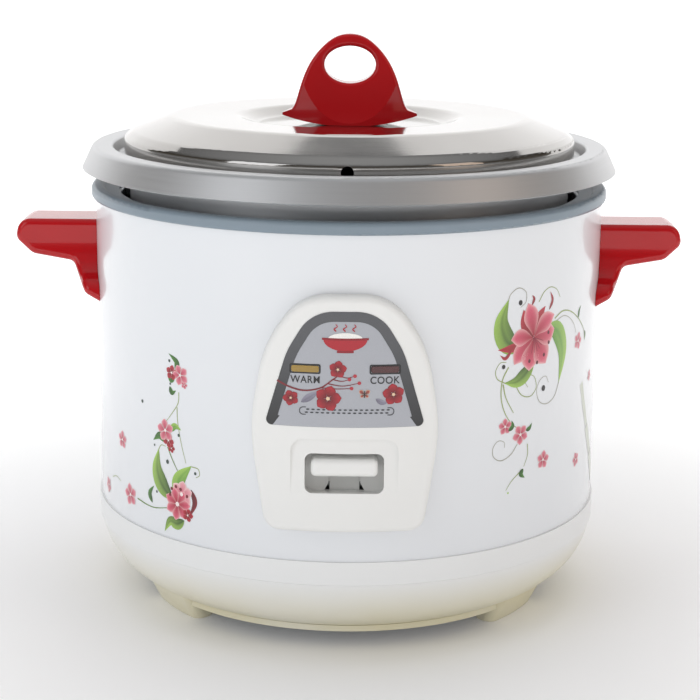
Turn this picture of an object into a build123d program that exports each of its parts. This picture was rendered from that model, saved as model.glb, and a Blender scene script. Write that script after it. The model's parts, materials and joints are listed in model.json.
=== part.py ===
from build123d import *
from math import cos, pi, radians, sin, sqrt, tan
import os

os.makedirs("parts", exist_ok=True)

# A drum rice cooker in millimetres. The origin is on the floor under the drum's axis, +Z is up,
# -Y is the front with the control panel and +X is the user's right-hand side.
# Round parts are turned from (radius, height) outlines; "angle" is counted from the front towards +X.

# ---------------------------------------------------------------- driving sizes
body_radius = 130.0          # outside of the painted drum
drum_height = 155.5          # painted drum, from the base pan to the collar
seam_height = 52.0           # the drum stands on the base pan here
shell_wall = 0.8
seat_gap = 0.1               # between curved faces that seat on each other
loose_gap = 0.6              # between a guided moving piece and its guide
running_gap = 0.05           # pivot pin in its barrel

# base pan
band_step = 1.0              # the pan's upright band stands proud of the drum by this
band_height = 11.9           # the upright band, below the seam
taper_radius = 34.5          # curve of the pan's underside
taper_drop = 8.0             # centre of that curve, below the seam
base_inset = 22.0            # the pan's lowest edge, inside the drum
base_wall = 2.5
spigot_height = 6.0
floor_gap = 8.4              # lowest edge of the pan above the floor
rim_height = 3.0
ledge_width = 12.0
ledge_wall = 2.5
cover_wall = 0.8

# feet
foot_angles = {"front_right": 56, "front_left": -56, "rear_right": 124, "rear_left": -124}
foot_width = 12.0
foot_inset = 15.0            # foot's inner face, inside the pan's lowest edge
foot_span = 23.0             # degrees
foot_flare = 27.0            # degrees

# liner and hot plate
liner_gap = 12.2             # air between drum and liner
liner_wall = 0.8
liner_corner = 14.0
liner_lift = 20.0            # liner's underside above the seam
plate_radius = 88.0
plate_wall = 7.0
plate_lift = 18.5            # hot plate's top above the liner's underside
element_radius = 62.0
element_tube = 3.5
spacer_radius = 40.0

# collar
collar_height = 6.0
collar_bulge = 2.0

# inner pot
pot_wall = 1.5
pot_gap = 4.4                # between pot and liner
pot_corner = 18.0
rim_gap = 8.5                # between the collar and the pot's skirt
skirt_height = 11.2
skirt_reach = 5.4
rim_overhang = 6.4           # skirt's lip outside the drum
rim_land = 10.0
channel_depth = 6.6
channel_width = 8.0
lift_clearance = 0.4

# lid
lid_wall = 0.8
lid_band = 10.0
lid_rise = 21.3              # crest above the channel
lid_dish = 4.8               # depth of the central depression
dish_radius = 53.0
vent_radius = 3.0
vent_rise = 7.0              # steam hole above the channel

# knob on the lid
knob_rise = 45.5
knob_half_width = 34.5
knob_half_depth = 13.0
knob_hole_width = 26.0
knob_hole_height = 18.5
knob_hole_drop = 15.3        # centre of the finger hole below the knob's top
knob_screw_radius = 2.0

# side handles
handle_reach = 41.2
handle_height = 39.0
handle_drop = 13.4           # handle's top below the drum's top
handle_half_width = 15.5
handle_foot_half_width = 34.5
handle_wall = 2.8

# control panel
panel_bulge = 8.0
panel_lift = 16.8            # lowest edge above the seam
panel_height = 111.9
panel_half_width = 42.3
panel_wall = 2.2
label_lift = 51.2            # label's lowest edge above the panel's
label_height = 54.0
label_half_width = 36.5
label_inset = 0.4
label_wall = 0.5
window_width = 12.8
window_height = 3.2
window_pitch = 36.4
window_lift = 78.5           # lamp windows above the panel's lowest edge

# corners of the panel and its label: shares of the half width and height, and a radius in mm
panel_shape = [(0.47, 1.0, 25.0), (0.88, 0.79, 60.0), (1.045, 0.44, 90.0), (0.87, 0.0, 8.0)]
label_shape = [(0.42, 1.0, 18.0), (0.73, 0.65, 40.0), (1.01, 0.0, 2.5)]

# switch
recess_half_width = 18.3
recess_lift = 20.2           # opening's lower lip above the panel's lowest edge
recess_height = 18.0
recess_depth = 16.0
recess_fall = 4.4            # the recess's floor falls inwards by this
recess_wall = 1.6
scoop_half_width = 24.8
scoop_depth = 1.6
paddle_width = 31.0
paddle_height = 8.4
paddle_depth = 10.5
slot_half_width = 7.5
knob_travel = 6.5
blade_wall = 1.2

# lever work under the hot plate
lever_lift = 28.6            # lever above the bottom cover
lever_wall = 2.0
lever_half_width = 5.0
rear_arm = 55.0              # pivot to the magnet rod
plunger_arm = 30.0           # pivot to the microswitch plunger
pin_radius = 2.0
rod_radius = 2.5
cap_radius = 19.5
cap_wall = 1.0
ferrite_height = 3.0
magnet_height = 4.0
magnet_radius = 9.0
tube_radius = 14.5
tube_wall = 1.2

# appliance inlet
inlet_lift = 16.0            # socket's centre above the seam
inlet_reach = 8.0
socket_width = 24.2
socket_height = 16.4
socket_depth = 16.0

# ---------------------------------------------------------------- worked-out places
shell_inner = body_radius - shell_wall
shell_top = seam_height + drum_height
band_radius = body_radius + band_step
base_edge_radius = body_radius - base_inset
cover_top = floor_gap + rim_height
ledge_top = cover_top + ledge_wall
taper_centre = (body_radius + 0.5 - taper_radius, seam_height - taper_drop)
ledge_radius = base_edge_radius - base_wall - ledge_width
post_radius = ledge_radius + 6.0

liner_outer = shell_inner - liner_gap + liner_wall
liner_inner = liner_outer - liner_wall
liner_floor = seam_height + liner_lift
liner_floor_top = liner_floor + liner_wall
plate_top = liner_floor + plate_lift
plate_bottom = plate_top - plate_wall
collar_top = shell_top + collar_height

pot_inner = liner_inner - pot_gap - pot_wall
pot_floor = plate_top + pot_wall
lip_height = collar_top + rim_gap
rim_top = lip_height + skirt_height
lip_radius = body_radius + rim_overhang
ridge_radius = lip_radius - skirt_reach
channel_floor = rim_top - channel_depth
lid_radius = pot_inner + channel_width / 2
lid_base = channel_floor + lift_clearance
crest_height = channel_floor + lid_rise
dish_floor = crest_height - lid_dish
knob_base = dish_floor + 0.1
knob_top = knob_base + knob_rise

handle_top = shell_top - handle_drop
handle_base = handle_top - handle_height
handle_screw_heights = (handle_top - 8.0, handle_base + 14.5)

panel_base = seam_height + panel_lift
panel_top = panel_base + panel_height
panel_radius = body_radius + panel_bulge
label_base = panel_base + label_lift
window_height_above_floor = panel_base + window_lift
recess_lip = panel_base + recess_lift
recess_top = recess_lip + recess_height
recess_back = panel_radius - recess_depth
recess_floor = recess_lip - recess_fall
panel_screw_places = [(0, panel_top - 6.5), (28.0, panel_base + 9.0), (-28.0, panel_base + 9.0)]

lever_height = cover_top + lever_lift
blade_front = recess_back - recess_wall - loose_gap
blade_back = blade_front - blade_wall
front_arm = (blade_front + blade_back) / 2 - rear_arm
lever_angle = knob_travel / front_arm
rod_travel = lever_angle * rear_arm
plunger_travel = lever_angle * plunger_arm
ferrite_base = plate_top - cap_wall - ferrite_height
magnet_top = ferrite_base - 0.2 - rod_travel
holder_top = magnet_top - magnet_height
tube_base = liner_floor - 12.0
nut_base = lever_height + lever_wall / 2 + 0.5
nut_top = nut_base + 3.0
inlet_height = seam_height + inlet_lift
inlet_face = body_radius + inlet_reach
inlet_back = inlet_face - socket_depth - 2.0


# ---------------------------------------------------------------- helpers
def turned(outline):
    """A full turn about the vertical axis of a closed (radius, height) outline."""
    return revolve(Plane.XZ * make_face(outline), Axis.Z)


def turned_polygon(*points):
    return turned(Polyline(*points, close=True))


def turned_sheet(points, radii, wall, side):
    """A turned pressing: a rounded line of (radius, height) points, thickened to one side."""
    line = FilletPolyline(*points, radius=radii)
    return turned(offset(line, wall, side=side, closed=True))


def ring(outer, inner, low, high):
    return Pos(0, 0, low) * extrude(Circle(outer) - Circle(inner), high - low)


def disc(radius, low, high):
    return Pos(0, 0, low) * extrude(Circle(radius), high - low)


def block(x_range, y_range, z_range):
    """A box given by its three (low, high) pairs."""
    pairs = (x_range, y_range, z_range)
    centre = [(low + high) / 2 for low, high in pairs]
    return Pos(*centre) * Box(*[high - low for low, high in pairs])


def forward(sketch, low, high):
    """A front-view (x, height) sketch, extruded towards the front from y = -low to y = -high."""
    return Pos(0, -low, 0) * extrude(Plane.XZ * sketch, high - low)


def sideways(sketch, low, high):
    """A side-view (y, height) sketch, extruded from x = low to x = high."""
    return Pos(low, 0, 0) * extrude(Plane.YZ * sketch, high - low)


def turned_to(solid, angles):
    """Copies of a solid that lies at the front, each turned to one of the angles."""
    return [Rot(0, 0, angle) * solid for angle in angles]


def edges_beyond(solid, radius):
    """The edges whose ends all lie further from the vertical axis than the radius."""
    return [e for e in solid.edges() if min(sqrt(v.X ** 2 + v.Y ** 2) for v in e.vertices()) > radius]


def screw(shank_radius, length, head_radius=None):
    """A pan-head screw: the head's seat is at the origin and the shank runs along +Z."""
    head_radius = head_radius or 1.9 * shank_radius
    head_height = 1.1 * shank_radius
    head = chamfer(Cylinder(head_radius, head_height).edges().sort_by(Axis.Z)[0], 0.35 * head_height)
    slots = Box(1.3 * head_radius, 0.5, head_height) + Box(0.5, 1.3 * head_radius, head_height)
    head = head - Pos(0, 0, -0.5 * head_height) * slots
    shank = Pos(0, 0, length / 2) * Cylinder(shank_radius, length)
    return Pos(0, 0, -head_height / 2) * head + shank


def coil(radius, wire, low, high, turns):
    """A compression spring about the vertical axis, touching neither end plane."""
    path = Pos(0, 0, low + wire) * Helix((high - low - 2 * wire) / turns, high - low - 2 * wire, radius)
    section = Plane(origin=path @ 0, z_dir=path % 0) * Circle(wire)
    return sweep(section, path=path)


def lead(radius, *points):
    """An insulated wire: straight runs joined by the largest arcs that the runs allow."""
    radii = []
    for before, here, after in zip(points, points[1:], points[2:]):
        into, out = Vector(*here) - Vector(*before), Vector(*after) - Vector(*here)
        half_turn = radians(into.get_angle(out)) / 2
        radii.append(0.45 * min(into.length, out.length) / tan(half_turn))
    print("lead radii", [round(value, 1) for value in radii])
    path = FilletPolyline(*points, radius=radii)
    return sweep(Plane(origin=path @ 0, z_dir=path % 0) * Circle(radius), path=path)


# ---------------------------------------------------------------- base
def taper_curve(inset, low):
    """The pan's underside curve, from a low height up to the upright band."""
    cx, cz = taper_centre
    radius = taper_radius - inset
    high = seam_height - band_height
    places = [(cx + sqrt(radius ** 2 - (cz - z) ** 2), z) for z in (low, (2 * low + high) / 3, high)]
    return ThreePointArc(*places), places[0], places[2]


def base_housing():
    """Moulded pan: upright band, curved taper, rim, an inner ledge and a spigot inside the drum."""
    outer_curve, outer_foot, outer_head = taper_curve(0, cover_top)
    inner_curve, inner_foot, inner_head = taper_curve(base_wall, ledge_top)
    spigot = shell_inner - seat_gap
    rim = base_edge_radius
    rim_inner = rim - base_wall
    band = Polyline(outer_head, (band_radius, seam_height - band_height + 0.6), (band_radius, seam_height),
                    (spigot, seam_height), (spigot, seam_height + spigot_height),
                    (spigot - base_wall, seam_height + spigot_height), inner_head)
    ledge = Polyline(inner_foot, (ledge_radius, ledge_top),
                     (ledge_radius, cover_top), (rim_inner, cover_top), (rim_inner, floor_gap),
                     (rim, floor_gap), (rim, cover_top), outer_foot)
    pan = turned(outer_curve + band + inner_curve + ledge)
    inlet_notch = block((-16.5, 16.5), (0, body_radius), (seam_height + 3, seam_height + 10))
    pan -= inlet_notch & ring(shell_inner, spigot - 2 * base_wall, seam_height, seam_height + 10)
    holes = turned_to(Pos(0, -post_radius, ledge_top) * Cylinder(2.2, 12), tie_angles)
    holes += turned_to(Pos(0, -cover_screw_radius, ledge_top) * Cylinder(1.3, 12), cover_angles)
    holes += turned_to(Pos(0, -foot_screw_radius, ledge_top) * Cylinder(1.3, 12), foot_angles.values())
    return pan - holes


def bottom_cover():
    """Vented steel plate that closes the pan from below, inside the rim."""
    radius = base_edge_radius - base_wall - seat_gap
    plate = disc(radius, cover_top - cover_wall, cover_top)
    slots = []
    for slot_radius, count in ((72.0, 16), (52.0, 12)):
        slot = extrude(SlotOverall(14.0, 3.0, rotation=90), 4 * cover_wall)
        slot = Pos(0, -slot_radius, cover_top - 2 * cover_wall) * slot
        slots += turned_to(slot, [360 / count * (i + 0.5) for i in range(count)])
    holes = turned_to(Pos(0, -post_radius, cover_top) * Cylinder(2.2, 4), tie_angles)
    holes += turned_to(Pos(0, -cover_screw_radius, cover_top) * Cylinder(1.7, 4), cover_angles)
    holes += turned_to(Pos(0, -foot_screw_radius, cover_top) * Cylinder(1.7, 4), foot_angles.values())
    return plate - slots - holes


def foot(angle):
    """Arc-shaped block under the pan, its outer face carrying on from the taper."""
    inner, outer = base_edge_radius - foot_inset, base_edge_radius - foot_inset + foot_width
    top = cover_top + 5.0
    flared = outer + top * tan(radians(foot_flare))
    section = make_face(Polyline((inner, 0), (outer, 0), (flared, top), (inner, top), close=True))
    blank = Rot(0, 0, -90 - foot_span / 2) * revolve(Plane.XZ * section, Axis.Z, foot_span)
    ends = [e for e in blank.edges() if abs((e % 0.5).Z) > 0.7]
    blank = fillet(ends, 0.4 * foot_width)
    blank = fillet(blank.edges().group_by(Axis.Z)[0], 0.8)
    curve, start, end = taper_curve(-seat_gap, cover_top)
    rim_out, rim_in = base_edge_radius + seat_gap, base_edge_radius - base_wall
    plate_under = cover_top - cover_wall
    above = Polyline(end, (0, end[1]), (0, plate_under), (rim_in, plate_under), (rim_in, floor_gap),
                     (rim_out, floor_gap), (rim_out, cover_top), start)
    hole = Pos(0, -foot_screw_radius, 0) * (Cylinder(1.7, 40) + Cylinder(3.6, 9.0))
    return Rot(0, 0, angle) * (blank - turned(curve + above) - hole)


def driven_up(radius, angles, shank, length, seat):
    """Screws driven upwards from the height of their seat, on a circle."""
    return turned_to(Pos(0, -radius, seat) * screw(shank, length), angles)


def base_screws():
    """Eight alike: four for the bottom cover and four for the feet."""
    cover = driven_up(cover_screw_radius, cover_angles, 1.25, 9.0, cover_top - cover_wall)
    return Compound(children=cover + driven_up(foot_screw_radius, foot_angles.values(), 1.25, 9.0, 4.5))


def liner_screws():
    """Seven alike: four up into the tie posts and three up through the liner into the hot plate."""
    ties = driven_up(post_radius, tie_angles, 1.5, 14.0, cover_top - cover_wall)
    return Compound(children=ties + driven_up(spacer_radius, spacer_angles, 1.5, 14.0, liner_floor))


# ---------------------------------------------------------------- drum
def outer_shell():
    """Painted drum with its openings for the panel, the inlet and the handle screws."""
    shell = ring(body_radius, shell_inner, seam_height, shell_top)
    shell -= block((-window_side, window_side), (-body_radius - 2, -body_radius + 20),
                   (recess_floor - recess_wall - 1.5, window_height_above_floor + 6))
    for x, z in panel_screw_places:
        shell -= forward(Pos(x, z) * Circle(1.8), body_radius - 20, body_radius + 2)
    shell -= block((-15.6, 15.6), (body_radius - 12, body_radius + 2),
                   (inlet_height - 11.9, inlet_height + 11.9))
    for x in (-inlet_screw_pitch / 2, inlet_screw_pitch / 2):
        shell -= Pos(x, body_radius, inlet_height) * Rot(90, 0, 0) * Cylinder(1.8, 30)
    for z in handle_screw_heights:
        shell -= Pos(0, 0, z) * Rot(0, 90, 0) * Cylinder(2.2, 3 * body_radius)
    return shell


def top_collar():
    """Rolled collar: a spigot inside the drum, an outer bulge and an inner shelf over the liner."""
    spigot = shell_inner - seat_gap
    bulge = body_radius + collar_bulge
    inner = liner_inner + 1.0
    outline = FilletPolyline(
        (spigot, shell_top), (bulge, shell_top), (bulge, collar_top), (spigot - 2.0, collar_top),
        (spigot - 4.0, collar_top - 2.0), (inner, collar_top - 3.0), (inner, collar_top - 4.5),
        (spigot - 2.0, shell_top + 1.5), (spigot - 2.0, shell_top - 4.5), (spigot, shell_top - 4.5),
        close=True, radius=[0.0, 1.2, 2.2, 0.8, 0.8, 0.3, 0.3, 0.3, 0.3, 0.3])
    return turned(outline)


def heat_shield():
    """Liner: a steel can that hangs under the collar's shelf and carries the hot plate."""
    shelf = collar_top - 4.6 - liner_wall
    reach = shell_inner - 5.0
    can = turned_sheet([(tube_radius + 0.4, liner_floor), (liner_outer, liner_floor), (liner_outer, shelf),
                        (reach, shelf)], [liner_corner, 1.2], liner_wall, Side.LEFT)
    can -= turned_to(Pos(0, -spacer_radius, liner_floor) * Cylinder(2.2, 8), spacer_angles)
    can -= turned_to(Pos(0, -post_radius, liner_floor) * Cylinder(2.2, 8), tie_angles)
    for x, y in terminal_places + [earth_place]:
        can -= Pos(x, y, liner_floor) * Cylinder(4.0 if (x, y) != earth_place else 2.1, 8)
    return can - [Pos(0, y, liner_floor) * Cylinder(1.7, 8) for y in rivet_places]


def handle(side):
    """Side handle, turned round the drum so that it hugs it, hollow towards the drum."""
    tip = body_radius + handle_reach

    def hull(inset, back):
        profile = FilletPolyline(
            (back, handle_base + inset), (body_radius + 7.0, handle_base + 4.0 + inset),
            (body_radius + 12.0 - inset, handle_base + 17.5 + inset),
            (tip - 8.0, handle_base + 21.0 + inset), (tip + 0.5 - inset, handle_base + 29.0),
            (tip - 1.5 - inset, handle_top - inset), (back, handle_top - inset),
            radius=[5.0, 4.0, 7.0, 5.0, 7.0])
        section = profile + Line((back, handle_top - inset), (back, handle_base + inset))
        slice_angle = 40
        solid = Rot(0, 0, -slice_angle / 2) * revolve(
            Plane.XZ * make_face(section), Axis.Z, slice_angle)
        top, foot_width_half = handle_half_width - inset, handle_foot_half_width - inset
        half = [(top, handle_top + 5), (top, handle_top - 15), (top + 5.5, handle_top - 25),
                (foot_width_half, handle_base + 9), (foot_width_half, handle_base - 5)]
        side_view = FilletPolyline(*half, *[(-y, z) for y, z in reversed(half)], close=True,
                                   radius=[0, 14, 14, 9, 0, 0, 9, 14, 14, 0])
        return solid & sideways(make_face(side_view), back - 20, tip + 5)

    grip = hull(0.0, body_radius + seat_gap)
    grip = fillet(edges_beyond(grip, body_radius + 1.0), handle_rounding)
    hollow = hull(handle_wall, body_radius - 1.0)
    bosses = [Pos(body_radius + 8, 0, z) * Rot(0, 90, 0) * Cylinder(6.5, 20) for z in handle_screw_heights]
    bosses = grip & (bosses[0] + bosses[1])
    holes = [Pos(body_radius, 0, z) * Rot(0, 90, 0) * Cylinder(1.8, 2 * handle_screw_length)
             for z in handle_screw_heights]
    grip = (grip - hollow) + bosses
    grip = grip - holes
    return grip if side > 0 else Rot(0, 0, 180) * grip


def handle_screws():
    rows = []
    for turn in (0, 180):
        for z in handle_screw_heights:
            driven = Pos(shell_inner - 0.15, 0, z) * Rot(0, 90, 0) * screw(1.7, handle_screw_length, 3.6)
            rows.append(Rot(0, 0, turn) * driven)
    return Compound(children=rows)


# ---------------------------------------------------------------- control panel
def badge(shape, half_width, base, height, inset):
    """Badge in front view: the shape's corners, given in shares of the size, rounded to their radii."""
    right = [(x * half_width, base + z * height) for x, z, _ in shape]
    left = [(-x, z) for x, z in reversed(right)]
    radii = [radius for _, _, radius in shape]
    face = make_face(FilletPolyline(*right, *left, close=True, radius=radii + radii[::-1]))
    return offset(face, -inset) if inset else face


def panel_outline(inset):
    return badge(panel_shape, panel_half_width, panel_base, panel_height, inset)


def label_outline(inset):
    return badge(label_shape, label_half_width, label_base, label_height, inset)


def rounded_block(width, low, high, corner):
    """Front-view rectangle about x = 0 with rounded corners."""
    return Pos(0, (low + high) / 2) * RectangleRounded(width, high - low, corner)


def recess_form(grow, back):
    """The switch recess: straight sides and a floor that falls inwards."""
    half = recess_half_width + grow
    side_view = Polyline((-panel_radius - 3, recess_lip - grow), (-panel_radius - 3, recess_top + grow),
                         (-back, recess_top + grow), (-back, recess_floor - grow), close=True)
    form = sideways(make_face(side_view), -half, half)
    long_edges = [e for e in form.edges() if abs((e % 0.5).Y) > 0.9]
    return fillet(long_edges, 3.5 + grow)


def panel_housing():
    """Bulging control panel: a hollow moulding with the recess, lamp windows and label seat."""
    back = body_radius + seat_gap
    front = forward(panel_outline(0), 0, panel_radius + 5) & ring(panel_radius, back, 0, 2 * panel_top)
    front = fillet(edges_beyond(front, panel_radius - 0.5), panel_rounding)
    cavity = forward(panel_outline(panel_wall), 0, panel_radius) & ring(
        panel_radius - panel_wall, back - 5, 0, 2 * panel_top)
    housing = front - cavity
    housing += recess_form(recess_wall, recess_back - recess_wall) & ring(
        panel_radius - panel_wall / 2, 50, 0, 2 * panel_top)
    rails = [block((x, x + 1.4), (-recess_back + recess_wall / 2, -blade_back),
                   (recess_floor, recess_top)) for x in (-rail_side - 1.4, rail_side)]
    housing += rails
    for x, z in panel_screw_places:
        housing += forward(Pos(x, z) * Circle(3.5), back, panel_radius - 1) & ring(
            panel_radius - 1, back, 0, 2 * panel_top)
        housing -= forward(Pos(x, z) * Circle(1.3), 0, panel_radius) & disc(
            panel_radius - screw_cover, 0, 2 * panel_top)
    housing -= recess_form(0, recess_back)
    scoop = forward(rounded_block(2 * scoop_half_width, recess_floor, recess_top + 7, 6.0), 0,
                    panel_radius + 5)
    cone = turned_polygon((0, recess_floor), (panel_radius + 0.2, recess_floor),
                          (panel_radius - scoop_depth, recess_top + 7.1), (0, recess_top + 7.1))
    housing -= scoop - cone
    slot = Polyline((-slot_half_width - 2, recess_floor + 0.1), (slot_half_width + 2, recess_floor + 0.1),
                    (slot_half_width, recess_floor + 4), (slot_half_width, recess_top - 3),
                    (-slot_half_width, recess_top - 3), (-slot_half_width, recess_floor + 4), close=True)
    housing -= forward(make_face(slot), recess_back - 3, recess_back + 0.5)
    housing -= forward(label_outline(-0.1), 0, panel_radius + 5) - disc(
        panel_radius - label_inset, 0, 2 * panel_top)
    for side in (-1, 1):
        window = Pos(side * window_pitch / 2, window_height_above_floor) * RectangleRounded(
            window_width, window_height, 1.0)
        housing -= forward(window, back, panel_radius + 5)
    for x in (-holder_post, holder_post):
        post = forward(Pos(x, window_height_above_floor) * Circle(1.5), body_radius - 1.2, panel_radius - 1)
        housing += post
    return housing


def panel_label():
    """Thin curved plate set in the panel's face, with two lamp windows."""
    plate = forward(label_outline(0), 0, panel_radius + 5) & ring(
        panel_radius - label_inset + label_wall, panel_radius - label_inset, 0, 2 * panel_top)
    for side in (-1, 1):
        window = Pos(side * window_pitch / 2, window_height_above_floor) * RectangleRounded(
            window_width, window_height, 1.0)
        plate -= forward(window, 0, panel_radius + 5)
    return plate


def lens(side):
    """Pilot-light lens: a rounded front in the window and a flange behind the panel's wall."""
    x, z = side * window_pitch / 2, window_height_above_floor
    front = forward(Pos(x, z) * RectangleRounded(window_width - 0.2, window_height - 0.2, 0.9), 0,
                    panel_radius + 5) & ring(panel_radius + 0.5, panel_radius - panel_wall - 0.5, 0, 400)
    flange = forward(Pos(x, z) * Rectangle(window_width + 3, window_height + 2.4), 0, panel_radius + 5)
    flange &= ring(panel_radius - panel_wall - 0.05, panel_radius - panel_wall - 1.25, 0, 400)
    return front + flange


def pilot_lamps():
    """Two neon lamps, each lying behind its lens."""
    bulb = Cylinder(lamp_radius, lamp_length)
    bulb = fillet(bulb.edges().sort_by(Axis.Z)[-1], 0.9 * lamp_radius)
    return Compound(children=[
        Pos(side * window_pitch / 2, -lamp_place, window_height_above_floor) * Rot(0, 90 * side, 0) * bulb
        for side in (-1, 1)])


def lamp_holder():
    """Moulded strip with a cradle behind each lamp, pushed on the panel's two posts."""
    z = window_height_above_floor
    half = window_side - 2.0
    back = lamp_place - 4.0
    strip = block((-half, half), (-back - 1.2, -back), (z - 4, z + 4))
    for side in (-1, 1):
        x = side * window_pitch / 2
        strip += block((x - 3, x + 3), (-lamp_place + 0.5, -back - 1.2), (z - 3.6, z + 3.6))
        strip -= Pos(x, -lamp_place, z) * Rot(0, 90, 0) * Cylinder(lamp_radius + 0.05, 20)
    for x in (-holder_post, holder_post):
        strip -= forward(Pos(x, z) * Circle(1.55), 0, panel_radius)
    return strip


def panel_screws():
    rows = [Pos(x, -sqrt(shell_inner ** 2 - x ** 2) + 0.75, z) * Rot(90, 0, 0) * screw(1.25, 6.0, 2.8)
            for x, z in panel_screw_places]
    return Compound(children=rows)


# ---------------------------------------------------------------- switch and lever
def switch_knob():
    """Paddle in the recess, a stem through the slot, a shutter behind it and a blade to the lever."""
    low = recess_top - 3.0 - paddle_height
    front = panel_radius - 1.5
    paddle = block((-paddle_width / 2, paddle_width / 2), (-front, -front + paddle_depth),
                   (low, low + paddle_height))
    paddle = fillet(paddle.edges().group_by(Axis.Y)[0] + paddle.edges().filter_by(Axis.Y), 2.4)
    middle = low + paddle_height / 2
    stem = block((-slot_half_width + 1.2, slot_half_width - 1.2), (-front + paddle_depth - 1, -blade_back),
                 (middle - 3, middle + 3))
    shutter = block((-rail_side + loose_gap, rail_side - loose_gap), (-blade_front, -blade_back),
                    (recess_floor + 4.0, recess_top - 1.0))
    blade = block((-7.0, 7.0), (-blade_front, -blade_back), (lever_height - 5.0, recess_floor + 5.0))
    window = block((-4.0, 4.0), (-blade_front - 1, -blade_back + 1),
                   (lever_height - lever_wall / 2 - 0.8, lever_height + lever_wall / 2 + 0.8))
    return paddle + stem + shutter + blade - window


def cook_lever():
    """Rocking beam: pivot barrel, a front tongue in the blade's window and a rear pad under the nut."""
    pivot = -rear_arm
    half = lever_half_width
    low, high = lever_height - lever_wall / 2, lever_height + lever_wall / 2
    beam = block((-half, half), (pivot - front_arm + 9, 2.0), (low, high))
    tongue = block((-3.0, 3.0), (-blade_front - 2.0, pivot - front_arm + 10), (low, high))
    barrel = Pos(0, pivot, lever_height) * Rot(0, 90, 0) * Cylinder(2 * pin_radius, 2 * barrel_half)
    bore = Pos(0, pivot, lever_height) * Rot(0, 90, 0) * Cylinder(pin_radius + running_gap, 4 * barrel_half)
    return beam + tongue + barrel - bore


def pivot_pin():
    shank = Cylinder(pin_radius, 2 * (bracket_side + bracket_wall) + 0.6)
    heads = [Pos(0, 0, s * (bracket_side + bracket_wall + 0.8)) * Cylinder(1.6 * pin_radius, 1.0)
             for s in (-1, 1)]
    return Pos(0, -rear_arm, lever_height) * Rot(0, 90, 0) * (shank + heads)


def switch_bracket():
    """Folded steel frame under the liner: two cheeks with a leg for the pivot and one for the switch."""
    pivot, switch = -rear_arm, -rear_arm - plunger_arm
    top = liner_floor
    low = switch_base + 2.0
    cheek_view = Polyline((switch - 12, top), (pivot + 8, top), (pivot + 8, lever_height + 16),
                          (pivot + 5, lever_height - 5), (pivot - 5, lever_height - 5),
                          (pivot - 9, lever_height + 12), (pivot - 18, lever_height + 12),
                          (switch + 9, low), (switch - 10, low), (switch - 12, lever_height - 6), close=True)
    cheek = make_face(cheek_view)
    cheek -= Pos(pivot, lever_height) * Circle(pin_radius + running_gap)
    cheek -= [Pos(switch + dy, switch_base + dz) * Circle(1.35) for dy, dz in switch_screw_places]
    frame = sideways(cheek, bracket_side, bracket_side + bracket_wall)
    frame += sideways(cheek, -bracket_side - bracket_wall, -bracket_side)
    web_side = bracket_side + 0.1
    frame += block((-web_side, web_side), (switch - 12, pivot + 8), (top - bracket_wall, top))
    return frame - [Pos(0, y, top) * Cylinder(1.7, 8) for y in rivet_places]


def bracket_rivets():
    """Rivets that hold the lever frame to the liner's floor."""
    rivets = []
    for y in rivet_places:
        low, high = liner_floor - bracket_wall, liner_floor_top
        body = Pos(0, y, (low + high) / 2) * Cylinder(1.65, high - low + 0.2)
        heads = [Pos(0, y, z) * Cylinder(3.0, 1.0) for z in (low - 0.5, high + 0.5)]
        rivets.append(body + heads)
    return Compound(children=rivets)


def microswitch():
    place = -rear_arm - plunger_arm
    body = block((-switch_half, switch_half), (place - 10, place + 10), (switch_base, switch_top))
    body -= Pos(0, place, switch_top) * Cylinder(1.5 + 0.35, 2 * (plunger_travel + 5.0))
    body -= [Pos(0, place + dy, switch_base + dz) * Rot(0, 90, 0) * Cylinder(1.3, 4 * switch_half)
             for dy, dz in switch_screw_places]
    tabs = [block((-3.0, 3.0), (place + dy - 0.4, place + dy + 0.4), (switch_base - 2.6, switch_base + 1))
            for dy in (-6, 0, 6)]
    return body + tabs


def microswitch_plunger():
    place = -rear_arm - plunger_arm
    high = lever_height - lever_wall / 2 - 0.4
    button = Pos(0, place, 0) * disc(1.5, switch_top - 4.0, high)
    return fillet(button.edges().sort_by(Axis.Z)[-1], 0.5)


def microswitch_screws():
    place = -rear_arm - plunger_arm
    seat = bracket_side + bracket_wall
    rows = [Pos(-seat, place + dy, switch_base + dz) * Rot(0, 90, 0) * screw(1.25, 2 * seat + 1, 2.4)
            for dy, dz in switch_screw_places]
    return Compound(children=rows)


# ---------------------------------------------------------------- hot plate and thermostat
def heater_plate():
    """Cast hot plate with a groove for the element and a hole for the thermostat."""
    plate = ring(plate_radius, cap_radius + 1.5, plate_bottom, plate_top)
    plate = chamfer(plate.edges().sort_by(Axis.Z)[-2:], 0.8)
    groove = Pos(0, 0, plate_bottom) * Torus(element_radius, element_tube + seat_gap)
    holes = turned_to(Pos(0, -spacer_radius, plate_bottom) * Cylinder(1.6, 8), spacer_angles)
    return plate - groove - holes


def heating_element():
    """Horseshoe of sheathed element half sunk in the plate's groove."""
    span = 316
    arc = CenterArc((0, 0), element_radius, 90 + (360 - span) / 2, span)
    path = Pos(0, 0, plate_bottom) * arc
    return sweep(Plane(origin=path @ 0, z_dir=path % 0) * Circle(element_tube), path=path)


def element_terminals():
    """The element's two cold pins, bent down through the liner's floor."""
    pins = [Pos(x, y, 0) * disc(1.5, liner_floor - 9.0, plate_bottom - element_tube - 0.2)
            for x, y in terminal_places]
    tabs = [block((x - 3.1, x + 3.1), (y - 0.4, y + 0.4), (liner_floor - 15.0, liner_floor - 9.0))
            for x, y in terminal_places]
    return Compound(children=[pins[0] + tabs[0], pins[1] + tabs[1]])


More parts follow.
